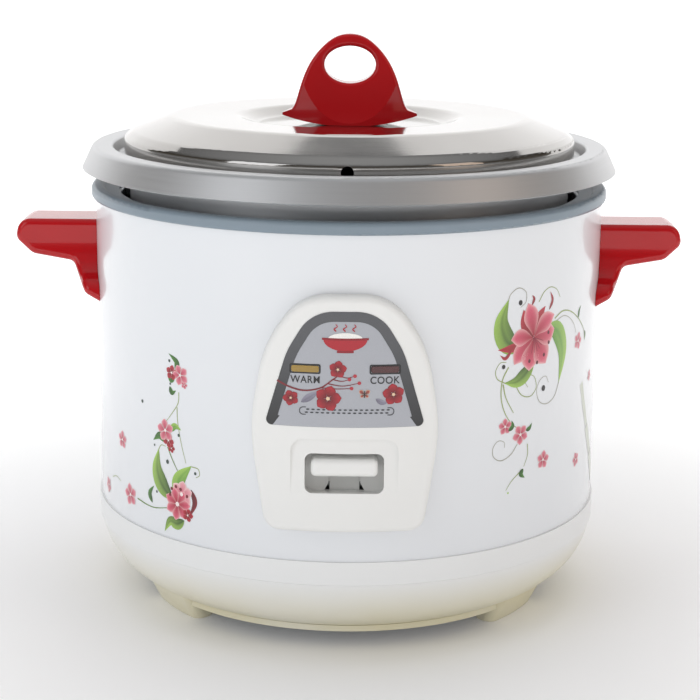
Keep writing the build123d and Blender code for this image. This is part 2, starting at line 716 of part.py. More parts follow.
def terminal_insulators():
    beads = []
    for x, y in terminal_places:
        bead = disc(3.9, liner_floor - 2.0, liner_floor_top + 2.0) + disc(5.5, liner_floor - 4.0, liner_floor)
        beads.append(Pos(x, y, 0) * (bead - disc(1.6, liner_floor - 10, liner_floor + 10)))
    return Compound(children=beads)


def heater_spacers():
    sleeve = Pos(0, -spacer_radius, 0) * ring(5.0, 2.1, liner_floor_top, plate_bottom)
    return Compound(children=turned_to(sleeve, spacer_angles))


def tie_posts():
    """Columns between the base pan's ledge and the liner's floor."""
    post = Pos(0, -post_radius, 0) * disc(4.0, ledge_top, liner_floor)
    post -= Pos(0, -post_radius, ledge_top) * Cylinder(1.6, 24)
    return Compound(children=turned_to(post, tie_angles))


def thermostat_body():
    """Guide tube in the hot plate's hole, with a flange on the liner's floor and a drilled bottom."""
    tube = ring(tube_radius, tube_radius - tube_wall, tube_base, ferrite_base - 4.5)
    bottom = ring(tube_radius, rod_radius + loose_gap, tube_base, tube_base + 1.5)
    flange = ring(tube_radius + 9.0, tube_radius - 0.1, liner_floor_top, liner_floor_top + 1.0)
    return tube + bottom + flange


def thermostat_cap():
    """Cap that the pot presses down: a top with a skirt."""
    skirt_base = liner_floor_top + 4.0
    cap = disc(cap_radius, skirt_base, plate_top) - disc(cap_radius - cap_wall, skirt_base - 1,
                                                         plate_top - cap_wall)
    return fillet(cap.edges().sort_by(Axis.Z)[-1], 0.8)


def ferrite_disc():
    return disc(magnet_radius, ferrite_base, plate_top - cap_wall)


def cap_spring():
    wire = 0.8
    radius = (tube_radius + cap_radius - cap_wall) / 2
    return coil(radius, wire, liner_floor_top + 1.1, plate_top - cap_wall - 0.1, 4)


def magnet_holder():
    """Flanged seat for the magnet with its rod down to the lever."""
    flange = disc(tube_radius - tube_wall - 0.8, holder_top - 1.2, holder_top)
    return flange + disc(rod_radius, nut_base + 1.0, holder_top)


def magnet():
    return disc(magnet_radius, holder_top, magnet_top)


def magnet_spring():
    return coil(magnet_radius + 1.8, 0.6, holder_top + 0.1, plate_top - cap_wall - 0.1, 4)


def rod_nut():
    nut = disc(6.0, nut_base, nut_top) - disc(rod_radius, nut_base + 1.0, nut_top + 1)
    return nut


def keep_warm_thermostat():
    """Bimetal disc thermostat on a small plate under the liner's floor."""
    x, y = warm_thermostat_place
    body = Pos(x, y, 0) * disc(7.0, liner_floor - 9.0, liner_floor - 1.0)
    plate = block((x - 13, x + 13), (y - 4, y + 4), (liner_floor - 1.0, liner_floor))
    tabs = [block((x + s * 5 - 0.4, x + s * 5 + 0.4), (y - 3, y + 3), (liner_floor - 15.0, liner_floor - 8.9))
            for s in (-1, 1)]
    return body + plate + tabs


def thermal_fuse():
    x, y = fuse_place
    return Pos(x, y, liner_floor - 3.0) * Rot(0, 90, 0) * (Cylinder(2.2, 14.0) + Cylinder(0.5, 30.0))


def fuse_clip():
    """Bent strap that presses the fuse against the liner."""
    x, y = fuse_place
    strap = block((x - 4, x + 4), (y - 9, y + 9), (liner_floor - 1.0, liner_floor))
    strap += block((x - 4, x + 4), (y - 3.4, y + 3.4), (liner_floor - 6.2, liner_floor))
    return strap - Pos(x, y, liner_floor - 3.0) * Rot(0, 90, 0) * Cylinder(2.3, 20)


# ---------------------------------------------------------------- inlet and wiring
def power_inlet():
    """Appliance socket at the back: curved flange on the drum, shroud and moulded cavity."""
    half_w, half_h = socket_width / 2 + 3.0, socket_height / 2 + 3.0
    z = inlet_height
    shroud = block((-half_w, half_w), (inlet_back, inlet_face), (z - half_h, z + half_h))
    shroud = fillet(shroud.edges().filter_by(Axis.Y), 2.5)
    flange = Pos(0, 0, z) * Rot(90, 0, 0) * extrude(RectangleRounded(inlet_screw_pitch + 9, 24.6, 4.0), -200)
    flange &= ring(body_radius + 2.8, body_radius + seat_gap, 0, 200)
    socket = block((-socket_width / 2, socket_width / 2), (inlet_back + 2, inlet_face + 5),
                   (z - socket_height / 2, z + socket_height / 2))
    socket = chamfer(socket.edges().filter_by(Axis.Y).sort_by(Axis.Z)[-2:], 4.5)
    socket = fillet(socket.edges().filter_by(Axis.Y).sort_by(Axis.Z)[:2], 1.5)
    body = shroud + flange - socket
    for x in (-inlet_screw_pitch / 2, inlet_screw_pitch / 2):
        body -= Pos(x, body_radius, z) * Rot(90, 0, 0) * Cylinder(1.7, 30)
    for x, dz in pin_places:
        body -= block((x - 1.1, x + 1.1), (inlet_back - 1, inlet_back + 3), (z + dz - 2.1, z + dz + 2.1))
    return body


def inlet_pins():
    """Three flat pins with a solder tab behind the socket."""
    pins = [block((x - 1.0, x + 1.0), (inlet_back - 3.4, inlet_face - 4.0),
                  (inlet_height + dz - 2.0, inlet_height + dz + 2.0)) for x, dz in pin_places]
    return Compound(children=pins)


def inlet_screws():
    rows = []
    for x in (-inlet_screw_pitch / 2, inlet_screw_pitch / 2):
        seat = sqrt((body_radius + 2.8) ** 2 - x ** 2) + 0.7
        rows.append(Pos(x, seat, inlet_height) * Rot(90, 0, 0) * screw(1.6, 7.0, 3.0))
    return Compound(children=rows)


def terminal_block():
    x, y = block_place
    body = block((x - 16, x + 16), (y - 7, y + 7), (liner_floor - 13, liner_floor))
    body = chamfer(body.edges().filter_by(Axis.X), 1.0)
    wells = [Pos(x + dx, y, liner_floor - 13) * Cylinder(2.4, 6) for dx in (-10, 0, 10)]
    entries = [Pos(x + dx, y + 7, liner_floor - 9.5) * Rot(90, 0, 0) * Cylinder(1.7, 8)
               for dx in (-10, 10)]
    return body - wells - entries


def terminal_screws():
    x, y = block_place
    rows = [Pos(x + dx, y, liner_floor - 12.4) * screw(1.4, 2.0, 2.2) for dx in (-10, 0, 10)]
    return Compound(children=rows)


def supply_lead(side):
    """Live or neutral wire from the inlet's tab to the terminal block."""
    x, y = block_place
    dz = pin_places[0][1]
    start = (side * 7.0, inlet_back - 3.8, inlet_height + dz)
    end = (x + side * 10, y + 4.0, liner_floor - 9.5)
    return lead(1.3, start, (side * 7.4, start[1] - 8, start[2] - 1.5),
                (side * 8.6, (start[1] + end[1]) / 2 + 3, end[2] - 3.0),
                (side * 9.9, end[1] + 9, end[2] - 0.2), end)


def earth_lead():
    x, y = earth_place
    start = (0, inlet_back - 3.8, inlet_height + pin_places[2][1])
    end = (x - 2.0, y + 4.8, liner_floor - 4.0)
    return lead(1.3, start, (1.0, start[1] - 7, start[2] - 0.4), (8.0, start[1] - 14, start[2] - 0.2),
                (0.6 * x, end[1] + 13, start[2] - 0.5), (x - 4.0, end[1] + 6, end[2] + 0.8), end)


def earth_screw():
    x, y = earth_place
    washer = Pos(x, y, 0) * ring(4.6, 2.1, liner_floor - 1.2, liner_floor)
    return Pos(x, y, liner_floor - 1.2) * screw(2.0, 6.0, 4.0) + washer


# ---------------------------------------------------------------- pot and lid
def inner_pot():
    """Pressed aluminium pot: straight wall, a channel for the lid, a flat land and a sloping skirt."""
    channel_out = pot_inner + channel_width
    land_in = ridge_radius - rim_land
    points = [(0, pot_floor), (pot_inner, pot_floor), (pot_inner, channel_floor),
              (channel_out, channel_floor), (land_in, rim_top), (ridge_radius, rim_top + 0.2),
              (lip_radius, lip_height)]
    return turned_sheet(points, [pot_corner, 1.8, 1.6, 1.8, 3.2], pot_wall, Side.RIGHT)


def lid_shell():
    """Polished lid: upright band, rounded shoulder, flat crest and a dished middle."""
    band_top = lid_base + lid_band
    points = [(knob_screw_radius + 0.3, dish_floor), (dish_radius - 5.0, dish_floor),
              (dish_radius + 4.0, crest_height - 0.6), (lid_radius - 24.0, crest_height),
              (lid_radius - 4.4, band_top + 3.4), (lid_radius, band_top), (lid_radius, lid_base + 1.0),
              (lid_radius - 2.2, lid_base)]
    lid = turned_sheet(points, [9.0, 9.0, 12.0, 6.0, 3.0, 0.9], lid_wall, Side.RIGHT)
    return lid - Pos(0, -lid_radius, channel_floor + vent_rise) * Rot(90, 0, 0) * Cylinder(vent_radius, 20)


def lid_knob():
    """Arched knob: boat-shaped foot with pointed ears, an oval finger hole, softened edges."""
    ear = knob_half_width
    right = Spline((0, knob_top), (0.345 * ear, knob_top - 4.6), (0.56 * ear, knob_top - 13.0),
                   (0.7 * ear, knob_top - 23.1), (0.79 * ear, knob_top - 33.3),
                   (0.86 * ear, knob_top - 38.2), tangents=[(1, 0), (0.75, -1)])
    left = Spline((0, knob_top), (-0.345 * ear, knob_top - 4.6), (-0.56 * ear, knob_top - 13.0),
                  (-0.7 * ear, knob_top - 23.1), (-0.79 * ear, knob_top - 33.3),
                  (-0.86 * ear, knob_top - 38.2), tangents=[(-1, 0), (-0.75, -1)])
    tip_top, tip_low = knob_top - 40.2, knob_top - 41.4
    keel = ThreePointArc((-ear, tip_low), (0, knob_base - 0.4), (ear, tip_low))
    ends = [Line((s * 0.86 * ear, knob_top - 38.2), (s * ear, tip_top)) for s in (-1, 1)]
    ends += [Line((s * ear, tip_top), (s * ear, tip_low)) for s in (-1, 1)]
    front = forward(make_face(left + right + keel + ends), -30, 30)
    deep = knob_half_depth
    side_line = Spline((-0.36 * deep, knob_top + 0.5), (-0.5 * deep, knob_top - 14.0),
                       (-0.72 * deep, knob_top - 32.0), (-1.05 * deep, knob_base - 0.5))
    mirrored = Spline((0.36 * deep, knob_top + 0.5), (0.5 * deep, knob_top - 14.0),
                      (0.72 * deep, knob_top - 32.0), (1.05 * deep, knob_base - 0.5))
    caps = [Line((-0.36 * deep, knob_top + 0.5), (0.36 * deep, knob_top + 0.5)),
            Line((-1.05 * deep, knob_base - 0.5), (1.05 * deep, knob_base - 0.5))]
    side_form = sideways(make_face(side_line + mirrored + caps), -50, 50)
    lens_radius = ((ear + 2) ** 2 + deep ** 2) / (2 * deep)
    plan = Pos(0, lens_radius - deep) * Circle(lens_radius)
    plan &= Pos(0, deep - lens_radius) * Circle(lens_radius)
    plan_form = Pos(0, 0, knob_base) * extrude(plan, knob_rise + 5)
    knob = front & side_form & plan_form
    hole = forward(Pos(0, knob_top - knob_hole_drop) * Ellipse(knob_hole_width / 2, knob_hole_height / 2),
                   -30, 30)
    knob -= hole
    curves = knob.edges().filter_by(GeomType.BSPLINE)
    knob = fillet([e for e in curves if e.bounding_box().min.Z > knob_base + 6.0], knob_rounding)
    pilot = Pos(0, 0, knob_base) * Cylinder(knob_screw_radius, 24.0)
    return knob - pilot


def knob_washer():
    low = dish_floor - lid_wall - 1.2
    return ring(9.0, knob_screw_radius + 0.2, low, low + 1.15)


def knob_screw():
    seat = dish_floor - lid_wall - 1.25
    return Pos(0, 0, seat) * screw(knob_screw_radius - 0.05, 12.0, 4.2)


# ---------------------------------------------------------------- shared placements
tie_angles = (38, -38, 142, -142)
cover_angles = (0, 90, 180, -90)
spacer_angles = (0, 120, -120)
cover_screw_radius = base_edge_radius - base_wall - 7.0
foot_screw_radius = base_edge_radius - foot_inset + foot_width / 2
window_side = 27.0
inlet_screw_pitch = 45.0
handle_screw_length = 9.0
handle_rounding = 3.0
panel_rounding = 3.0
screw_cover = 3.0
knob_rounding = 2.0
rail_side = 11.6
holder_post = 8.0
lamp_radius = 2.0
lamp_length = 10.0
lamp_place = panel_radius - 7.4
bracket_side = 8.2
bracket_wall = 1.2
barrel_half = 7.6
switch_half = 7.9
switch_top = lever_height - 9.0
switch_base = switch_top - 16.0
switch_screw_places = [(-6.0, 3.5), (6.0, 3.5)]
rivet_places = (-rear_arm - 36.0, -rear_arm - 8.0)
terminal_places = [(-22.0, element_radius - 4.0), (22.0, element_radius - 4.0)]
warm_thermostat_place = (40.0, 10.0)
fuse_place = (-42.0, 10.0)
block_place = (0.0, 38.0)
earth_place = (34.0, 78.0)
pin_places = [(-7.0, -2.0), (7.0, -2.0), (0.0, 2.0)]

nodes = {
    "outer_shell": outer_shell(),
    "top_collar": top_collar(),
    "base_housing": base_housing(),
    "bottom_cover": bottom_cover(),
    "tie_posts": tie_posts(),
    "liner_screws": liner_screws(),
    "base_screws": base_screws(),
    "heat_shield": heat_shield(),
    "heater_plate": heater_plate(),
    "heating_element": heating_element(),
    "element_terminals": element_terminals(),
    "terminal_insulators": terminal_insulators(),
    "heater_spacers": heater_spacers(),
    "thermostat_body": thermostat_body(),
    "thermostat_cap": thermostat_cap(),
    "ferrite_disc": ferrite_disc(),
    "cap_spring": cap_spring(),
    "magnet_holder": magnet_holder(),
    "magnet": magnet(),
    "magnet_spring": magnet_spring(),
    "rod_nut": rod_nut(),
    "switch_bracket": switch_bracket(),
    "bracket_rivets": bracket_rivets(),
    "pivot_pin": pivot_pin(),
    "cook_lever": cook_lever(),
    "switch_knob": switch_knob(),
    "microswitch": microswitch(),
    "microswitch_plunger": microswitch_plunger(),
    "microswitch_screws": microswitch_screws(),
    "keep_warm_thermostat": keep_warm_thermostat(),
    "thermal_fuse": thermal_fuse(),
    "fuse_clip": fuse_clip(),
    "left_handle": handle(-1),
    "right_handle": handle(1),
    "handle_screws": handle_screws(),
    "panel_housing": panel_housing(),
    "panel_label": panel_label(),
    "panel_screws": panel_screws(),
    "warm_lens": lens(-1),
    "cook_lens": lens(1),
    "pilot_lamps": pilot_lamps(),
    "lamp_holder": lamp_holder(),
    "power_inlet": power_inlet(),
    "inlet_pins": inlet_pins(),
    "inlet_screws": inlet_screws(),
    "terminal_block": terminal_block(),
    "terminal_screws": terminal_screws(),
    "live_lead": supply_lead(1),
    "neutral_lead": supply_lead(-1),
    "earth_lead": earth_lead(),
    "earth_screw": earth_screw(),
    "inner_pot": inner_pot(),
    "lid_shell": lid_shell(),
    "lid_knob": lid_knob(),
    "knob_washer": knob_washer(),
    "knob_screw": knob_screw(),
}
for place, angle in foot_angles.items():
    nodes[f"foot_{place}"] = foot(angle)

for name, solid in nodes.items():
    export_step(solid, f"parts/{name}.step")
print(len(nodes), "nodes")
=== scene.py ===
# %% [markdown]
# # A drum rice cooker
# This lesson dresses a finished CAD model. The CAD gives every size and every joint. Here each
# surface gets the finish of the real piece, and the printed and pressed details are added as
# meshes worked out with numpy. Lengths are metres, +Z is up and -Y is the front.

# %% Load the frame
import json
from math import cos, pi, radians, sin, tau
import bmesh
import bpy
import numpy as np
from mathutils import Matrix, Vector


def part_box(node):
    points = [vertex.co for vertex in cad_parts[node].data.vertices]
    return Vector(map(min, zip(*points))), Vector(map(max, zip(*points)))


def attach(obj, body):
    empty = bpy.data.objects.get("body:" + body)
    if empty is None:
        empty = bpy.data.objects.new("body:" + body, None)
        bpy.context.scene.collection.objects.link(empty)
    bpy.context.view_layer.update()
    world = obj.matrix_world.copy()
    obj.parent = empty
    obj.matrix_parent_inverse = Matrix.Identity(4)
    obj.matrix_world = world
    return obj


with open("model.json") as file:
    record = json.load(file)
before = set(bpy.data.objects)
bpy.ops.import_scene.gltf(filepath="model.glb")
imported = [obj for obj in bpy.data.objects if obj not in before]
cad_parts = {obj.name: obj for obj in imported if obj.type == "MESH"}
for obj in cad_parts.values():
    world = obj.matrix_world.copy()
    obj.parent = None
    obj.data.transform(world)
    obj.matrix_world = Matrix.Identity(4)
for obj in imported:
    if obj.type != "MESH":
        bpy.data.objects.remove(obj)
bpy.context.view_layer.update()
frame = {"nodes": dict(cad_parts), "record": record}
MM = 0.001

# %% [markdown]
# ## Places that come from the CAD
# A piece that sits on another one reads its place from that one's box, so nothing is fitted by
# eye. The drum and the label are the ones that the new pieces refer to.

# %% Read the places
drum_low, drum_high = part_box("outer_shell")
label_low, label_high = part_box("panel_label")
drum_radius = drum_high[0]
label_radius = -label_low[1]
print(f"drum radius {drum_radius / MM:.1f} mm, label radius {label_radius / MM:.1f} mm")

# %% [markdown]
# ## Two helpers for materials
# Colours are sRGB hex values, as a paint card gives them, and one function turns them to the linear
# values that a shader works in. The other function adds any node, sets its plain values and joins
# its inputs, so that a material reads as a list of nodes.

# %% Colours and nodes
def linear(hex_colour):
    """sRGB to linear: c / 12.92 for dark values, ((c + 0.055) / 1.055) to the power 2.4 for others."""
    value = np.array([int(hex_colour[i:i + 2], 16) / 255 for i in (1, 3, 5)])
    value = np.where(value <= 0.04045, value / 12.92, ((value + 0.055) / 1.055) ** 2.4)
    return (*value.tolist(), 1.0)


def add(tree, kind, joins=None, **settings):
    """Adds a node. An input in joins is linked if it is given a socket and set if it is given a value."""
    node = tree.nodes.new("ShaderNode" + kind)
    for name, value in settings.items():
        setattr(node, name, value)
    for key, value in (joins or {}).items():
        socket = node.inputs[key]
        if isinstance(value, bpy.types.NodeSocket):
            tree.links.new(value, socket)
        else:
            socket.default_value = value
    return node


def start(name, **values):
    """A new material and its shader, with the shader's plain values set."""
    material = bpy.data.materials.new(name)
    material.use_nodes = True
    shader = material.node_tree.nodes["Principled BSDF"]
    for key, value in values.items():
        shader.inputs[key.replace("_", " ")].default_value = value
    return material, material.node_tree, shader


# %% [markdown]
# ## Patterns that many finishes share
# Three patterns come back again and again. Grain is a noise whose size is given in millimetres.
# Tool lines are the circles that a spinning or polishing lathe leaves: they follow the sum of
# radius and height, so that they stay circles on a wall, a floor and a curve alike. A tint moves a
# colour a little towards another one, as a batch of plastic or paint does.

# %% Grain, tool lines, tint and relief
def grain(tree, size_mm, detail=3.0, roughness=0.5):
    """Noise on Object coordinates, one blob about size_mm across."""
    place = add(tree, "TexCoord").outputs["Object"]
    noise = add(tree, "TexNoise", {"Vector": place, "Scale": 1 / (size_mm * MM), "Detail": detail,
                                   "Roughness": roughness})
    return noise.outputs["Fac"]


def tool_lines(tree, pitch_mm, waver_mm=0.3):
    """Noise along the distance r + z, with r the distance from the axis: rings pitch_mm apart."""
    place = add(tree, "TexCoord").outputs["Object"]
    flat = add(tree, "VectorMath", {0: place, 1: (1.0, 1.0, 0.0)}, operation="MULTIPLY")
    radius = add(tree, "VectorMath", {0: flat.outputs["Vector"]}, operation="LENGTH")
    height = add(tree, "SeparateXYZ", {"Vector": place})
    along = add(tree, "Math", {0: radius.outputs["Value"], 1: height.outputs["Z"]}, operation="ADD")
    wave = add(tree, "Math", {0: grain(tree, 40.0), 1: waver_mm * MM, 2: along.outputs["Value"]},
               operation="MULTIPLY_ADD")
    noise = add(tree, "TexNoise", {"W": wave.outputs["Value"], "Scale": 1 / (pitch_mm * MM),
                                   "Detail": 4.0, "Roughness": 0.7}, noise_dimensions="1D")
    return noise.outputs["Fac"]


def spread(tree, pattern, low, high):
    """Maps a pattern's middle range on values from low to high."""
    node = add(tree, "MapRange", {"Value": pattern, "From Min": 0.3, "From Max": 0.7,
                                  "To Min": low, "To Max": high})
    return node.outputs["Result"]


def tint(tree, pattern, colour, other):
    """Mixes two colours by a pattern."""
    node = add(tree, "Mix", {0: pattern, 6: colour, 7: other}, data_type="RGBA")
    return node.outputs[2]


def relief(tree, shader, pattern, height_mm, strength=1.0):
    """A bump whose full height is height_mm, joined to the shader's normal."""
    node = add(tree, "Bump", {"Height": pattern, "Distance": height_mm * MM, "Strength": strength})
    tree.links.new(node.outputs["Normal"], shader.inputs["Normal"])

# %% [markdown]
# ## Enamel, paint and moulded plastics
# The drum is steel sheet with a baked white enamel: a clear gloss over a film that has a very slight
# orange peel. The collar is the same process in blue-grey. The base pan, the panel and the switch are
# white ABS from polished or finely eroded moulds, and the handles and the knob are red ABS with the
# highest gloss. Each keeps an IOR near 1.5 and differs in roughness and relief.

# %% White and blue-grey enamel
# Baked enamel on steel: a hard even gloss with waves about 3 mm long and under 0.02 mm high.
baked_enamel, tree, shader = start("baked_enamel_white", Roughness=0.24, IOR=1.5, Coat_Weight=0.5,
                                   Coat_Roughness=0.06)
colour = tint(tree, grain(tree, 60.0), linear("#E9EBEE"), linear("#E4E7EB"))
tree.links.new(colour, shader.inputs["Base Color"])
relief(tree, shader, grain(tree, 3.0, detail=1.0), 0.015)

# The same enamel in blue-grey, a little flatter, as the collar shows no sharp reflection.
collar_enamel, tree, shader = start("baked_enamel_blue_grey", Roughness=0.34, IOR=1.5)
colour = tint(tree, grain(tree, 12.0), linear("#7F8E98"), linear("#8794A0"))
tree.links.new(colour, shader.inputs["Base Color"])
relief(tree, shader, grain(tree, 2.0, detail=1.0), 0.01)

# %% White and red ABS
# ABS from a polished mould: soft gloss. The pan's underside is painted a faint cream, from the
# height of the curve's foot to where the upright band starts: painted bounce light, a warm glow thrown up
# from below.
pan_abs, tree, shader = start("moulded_abs_white_gloss", Roughness=0.3, IOR=1.53)
height = add(tree, "SeparateXYZ", {"Vector": add(tree, "TexCoord").outputs["Object"]})
# painted bounce light: the cream weight goes from 0 at z 41 mm to 1 at z 14 mm, broken up by a 90 mm grain
painted_bounce_cream = add(tree, "MapRange", {"Value": height.outputs["Z"], "From Min": 0.041, "From Max": 0.014})
painted_bounce_cream = add(tree, "Math", {0: painted_bounce_cream.outputs["Result"], 1: spread(tree, grain(tree, 90.0), 0.5, 1.0)},
           operation="MULTIPLY")
colour = tint(tree, painted_bounce_cream.outputs["Value"], linear("#ECEDED"), linear("#DDD4AC"))
tree.links.new(colour, shader.inputs["Base Color"])
relief(tree, shader, grain(tree, 5.0, detail=1.0), 0.01)

# ABS from a spark-eroded mould: a fine satin grain, 0.7 mm across so that it shows.
panel_abs, tree, shader = start("moulded_abs_white_satin", IOR=1.53)
pattern = grain(tree, 0.7)
tree.links.new(spread(tree, pattern, 0.36, 0.48), shader.inputs["Roughness"])
tree.links.new(tint(tree, grain(tree, 45.0), linear("#F0F0EE"), linear("#EAEAE8")),
               shader.inputs["Base Color"])
relief(tree, shader, pattern, 0.02, 0.5)

# Red ABS with a mirror-polished mould: deep colour under a wet-looking gloss, with the faint flow
# clouds that a strong pigment leaves near the gates.
red_abs, tree, shader = start("moulded_abs_red_gloss", Roughness=0.14, IOR=1.5, Coat_Weight=0.25,
                              Coat_Roughness=0.04, Specular_IOR_Level=0.35)
tree.links.new(tint(tree, grain(tree, 22.0), linear("#AE0A12"), linear("#BB0F18")),
               shader.inputs["Base Color"])
relief(tree, shader, grain(tree, 9.0, detail=1.0), 0.03)
print("plastics and enamels ready")

# %% [markdown]
# ## Bright metals
# The lid is deep-drawn stainless steel, polished to a mirror on a lathe, and the pot is spun
# aluminium brought to a satin. A metal's look is nearly all reflection, so its colour is high and
# nearly grey, and the tool lines live in the roughness and in a relief of a few thousandths.

# %% Mirror-polished steel and satin aluminium
# Polished stainless: sharp reflections, hair lines round the axis and a few dull clouds from wiping.
polished_steel, tree, shader = start("polished_stainless_steel", Metallic=1.0)
tree.links.new(tint(tree, grain(tree, 30.0), linear("#BAB8B5"), linear("#B2AFAC")),
               shader.inputs["Base Color"])
hair = tool_lines(tree, 0.5)
clouds = spread(tree, grain(tree, 28.0), 0.05, 0.09)
wiped = add(tree, "Math", {0: spread(tree, hair, 0.0, 0.04), 1: clouds}, operation="ADD")
tree.links.new(wiped.outputs["Value"], shader.inputs["Roughness"])
relief(tree, shader, hair, 0.002, 0.4)

# Spun aluminium, satin: every reflection is spread along the rings.
satin_aluminium, tree, shader = start("spun_aluminium_satin", Metallic=1.0)
hair = tool_lines(tree, 0.45)
tree.links.new(tint(tree, hair, linear("#DFE0E1"), linear("#EBEBEC")), shader.inputs["Base Color"])
tree.links.new(spread(tree, hair, 0.44, 0.56), shader.inputs["Roughness"])
relief(tree, shader, hair, 0.006, 0.5)

# Cast aluminium faced on a lathe: coarser rings, pores of the casting between them.
faced_casting, tree, shader = start("cast_aluminium_faced", Metallic=1.0)
rings = tool_lines(tree, 1.2)
pores = spread(tree, grain(tree, 1.5), 0.38, 0.55)
tree.links.new(tint(tree, rings, linear("#A9AAAB"), linear("#C3C4C5")), shader.inputs["Base Color"])
tree.links.new(pores, shader.inputs["Roughness"])
relief(tree, shader, rings, 0.02, 0.6)

# %% [markdown]
# ## The inner works
# These finishes show when the pot is lifted out, through the vents and at the back. They are made
# from the same patterns in one table: a name, what the eye gets, the two colours, the size of the
# grain, and the lowest and highest roughness.

# %% A table of plain finishes
def plain(name, colour, other, grain_mm, rough_low, rough_high, height_mm=0.01, **values):
    """A finish whose colour, roughness and relief follow one grain."""
    material, tree, shader = start(name, **values)
    pattern = grain(tree, grain_mm)
    tree.links.new(tint(tree, pattern, linear(colour), linear(other)), shader.inputs["Base Color"])
    tree.links.new(spread(tree, pattern, rough_low, rough_high), shader.inputs["Roughness"])
    relief(tree, shader, pattern, height_mm, 0.5)
    return material


metal = dict(Metallic=1.0)
finishes = {
    "white_enamel": baked_enamel,
    "collar_paint": collar_enamel,
    "white_plastic": pan_abs,
    "panel_plastic": panel_abs,
    "switch_plastic": panel_abs,
    "red_plastic": red_abs,
    "lid_steel": polished_steel,
    "pot_aluminium": satin_aluminium,
    "cast_aluminium": faced_casting,
    # zinc plate: a cool bright grey with spangles about 6 mm across
    "bare_steel": plain("zinc_plated_steel", "#A4A8AB", "#BDC0C2", 6.0, 0.24, 0.4, **metal),
    "spring_steel": plain("drawn_spring_wire", "#8E9195", "#A3A6AA", 1.0, 0.2, 0.3, **metal),
    # an oxide film from the heat: brown-grey and nearly matt
    "heater_sheath": plain("heat_blued_steel_tube", "#4A4643", "#605953", 4.0, 0.4, 0.6, **metal),
    "brass": plain("turned_brass", "#C9A25A", "#D8B36C", 2.0, 0.22, 0.34, **metal),
    # pressed ferrite: a dry dark grey
    "ferrite": plain("sintered_ferrite", "#2B2B2E", "#38383B", 1.2, 0.6, 0.8),
    # unglazed steatite: warm white and matt
    "steatite": plain("unglazed_steatite", "#DFDACB", "#E9E4D8", 1.5, 0.6, 0.75),
    # phenolic moulding: black with a dull shine
    "black_plastic": plain("moulded_phenolic_black", "#161617", "#202022", 1.0, 0.34, 0.5),
    "holder_plastic": plain("moulded_nylon_natural", "#CBCABD", "#D8D6CB", 2.0, 0.4, 0.5),
    # silicone sleeve: waxy, no sharp highlight
    "lead_red": plain("silicone_sleeve_red", "#8E2A22", "#9C322A", 2.0, 0.5, 0.6),
    "lead_blue": plain("silicone_sleeve_blue", "#2A4E8C", "#345999", 2.0, 0.5, 0.6),
    "lead_green": plain("silicone_sleeve_green", "#7C8F33", "#8B9D40", 2.0, 0.5, 0.6),
    "seal_rubber": plain("silicone_seal_grey", "#C4C2BE", "#D0CECA", 2.0, 0.55, 0.7),
    "neon_glass": plain("blown_lamp_glass", "#D9C7B8", "#E3D3C6", 4.0, 0.05, 0.1, 0.005,
                        Transmission_Weight=0.8),
    # tinted acrylic lenses, frosted from behind: colour with depth, and a polished front
    "warm_lens": plain("tinted_acrylic_amber", "#A8862C", "#B8953A", 3.0, 0.18, 0.26, 0.01,
                       Transmission_Weight=0.25, Coat_Weight=0.6, Coat_Roughness=0.05),
    "cook_lens": plain("tinted_acrylic_maroon", "#4A1216", "#5A171B", 3.0, 0.18, 0.26, 0.01,
                       Transmission_Weight=0.25, Coat_Weight=0.6, Coat_Roughness=0.05),
    # foil printed with silver ink: fine flakes, 0.35 mm across, in a satin lacquer
    "label_print": plain("printed_silver_foil", "#A9ABB2", "#BCBEC4", 0.35, 0.36, 0.5, 0.004,
                         Metallic=0.55),
}

# %% Give each CAD node the finish of its slot
slot_of = {row["node"]: row["material_slot"] for row in frame["record"]["subparts"]}
for node, piece in frame["nodes"].items():
    piece.data.materials.clear()
    piece.data.materials.append(finishes[slot_of[node]])
print(len(frame["nodes"]), "nodes,", len(finishes), "finishes")

# %% [markdown]
# ## New pieces from numpy
# Each new piece is a surface: a function of two parameters worked out for a whole grid of points at
# once. Two helpers turn such a grid into a mesh and put it in the scene.

# %% From a grid of points to a piece
def sheet_mesh(name, points):
    """A mesh from a grid of points (n, m, 3): each cell of the grid is one face."""
    n, m = points.shape[:2]
    corner = np.arange(n - 1)[:, None] * m + np.arange(m - 1)[None]
    faces = np.stack([corner, corner + m, corner + m + 1, corner + 1], -1).reshape(-1, 4)
    mesh = bpy.data.meshes.new(name)
    mesh.from_pydata(points.reshape(-1, 3).tolist(), [], faces.tolist())
    mesh.shade_smooth()
    return mesh


def show(name, mesh, material):
    """Links a mesh to the scene as an object at the origin."""
    piece = bpy.data.objects.new(name, mesh)
    bpy.context.scene.collection.objects.link(piece)
    mesh.materials.append(material)
    return piece


# %% [markdown]
# ## Printed flowers: drawing on a sheet and rolling it up
# The real drum carries a transfer print, drawn flat and then rolled on the steel. The same is done
# here: every petal, leaf and tendril is a small grid drawn on a flat sheet in millimetres, with its
# ink as a colour on each point, and the whole sheet is then wrapped round the drum a twentieth of a
# millimetre above the enamel. A texture would be quicker, but a mesh keeps a sharp edge at any size.

# %% A smooth line and a ribbon along it
def smooth_line(points, count=24):
    """Catmull-Rom curve: between two points a cubic whose slopes are half the chords around them."""
    p = np.asarray(points, float)
    p = np.vstack([2 * p[0] - p[1], p, 2 * p[-1] - p[-2]])
    t = np.linspace(0, len(p) - 3, count)
    i = np.minimum(t.astype(int), len(p) - 4)
    f = (t - i)[:, None]
    a, b, c, d = p[i], p[i + 1], p[i + 2], p[i + 3]
    square, cube = 2 * a - 5 * b + 4 * c - d, 3 * b - a - 3 * c + d
    return 0.5 * (2 * b + (c - a) * f + square * f ** 2 + cube * f ** 3)


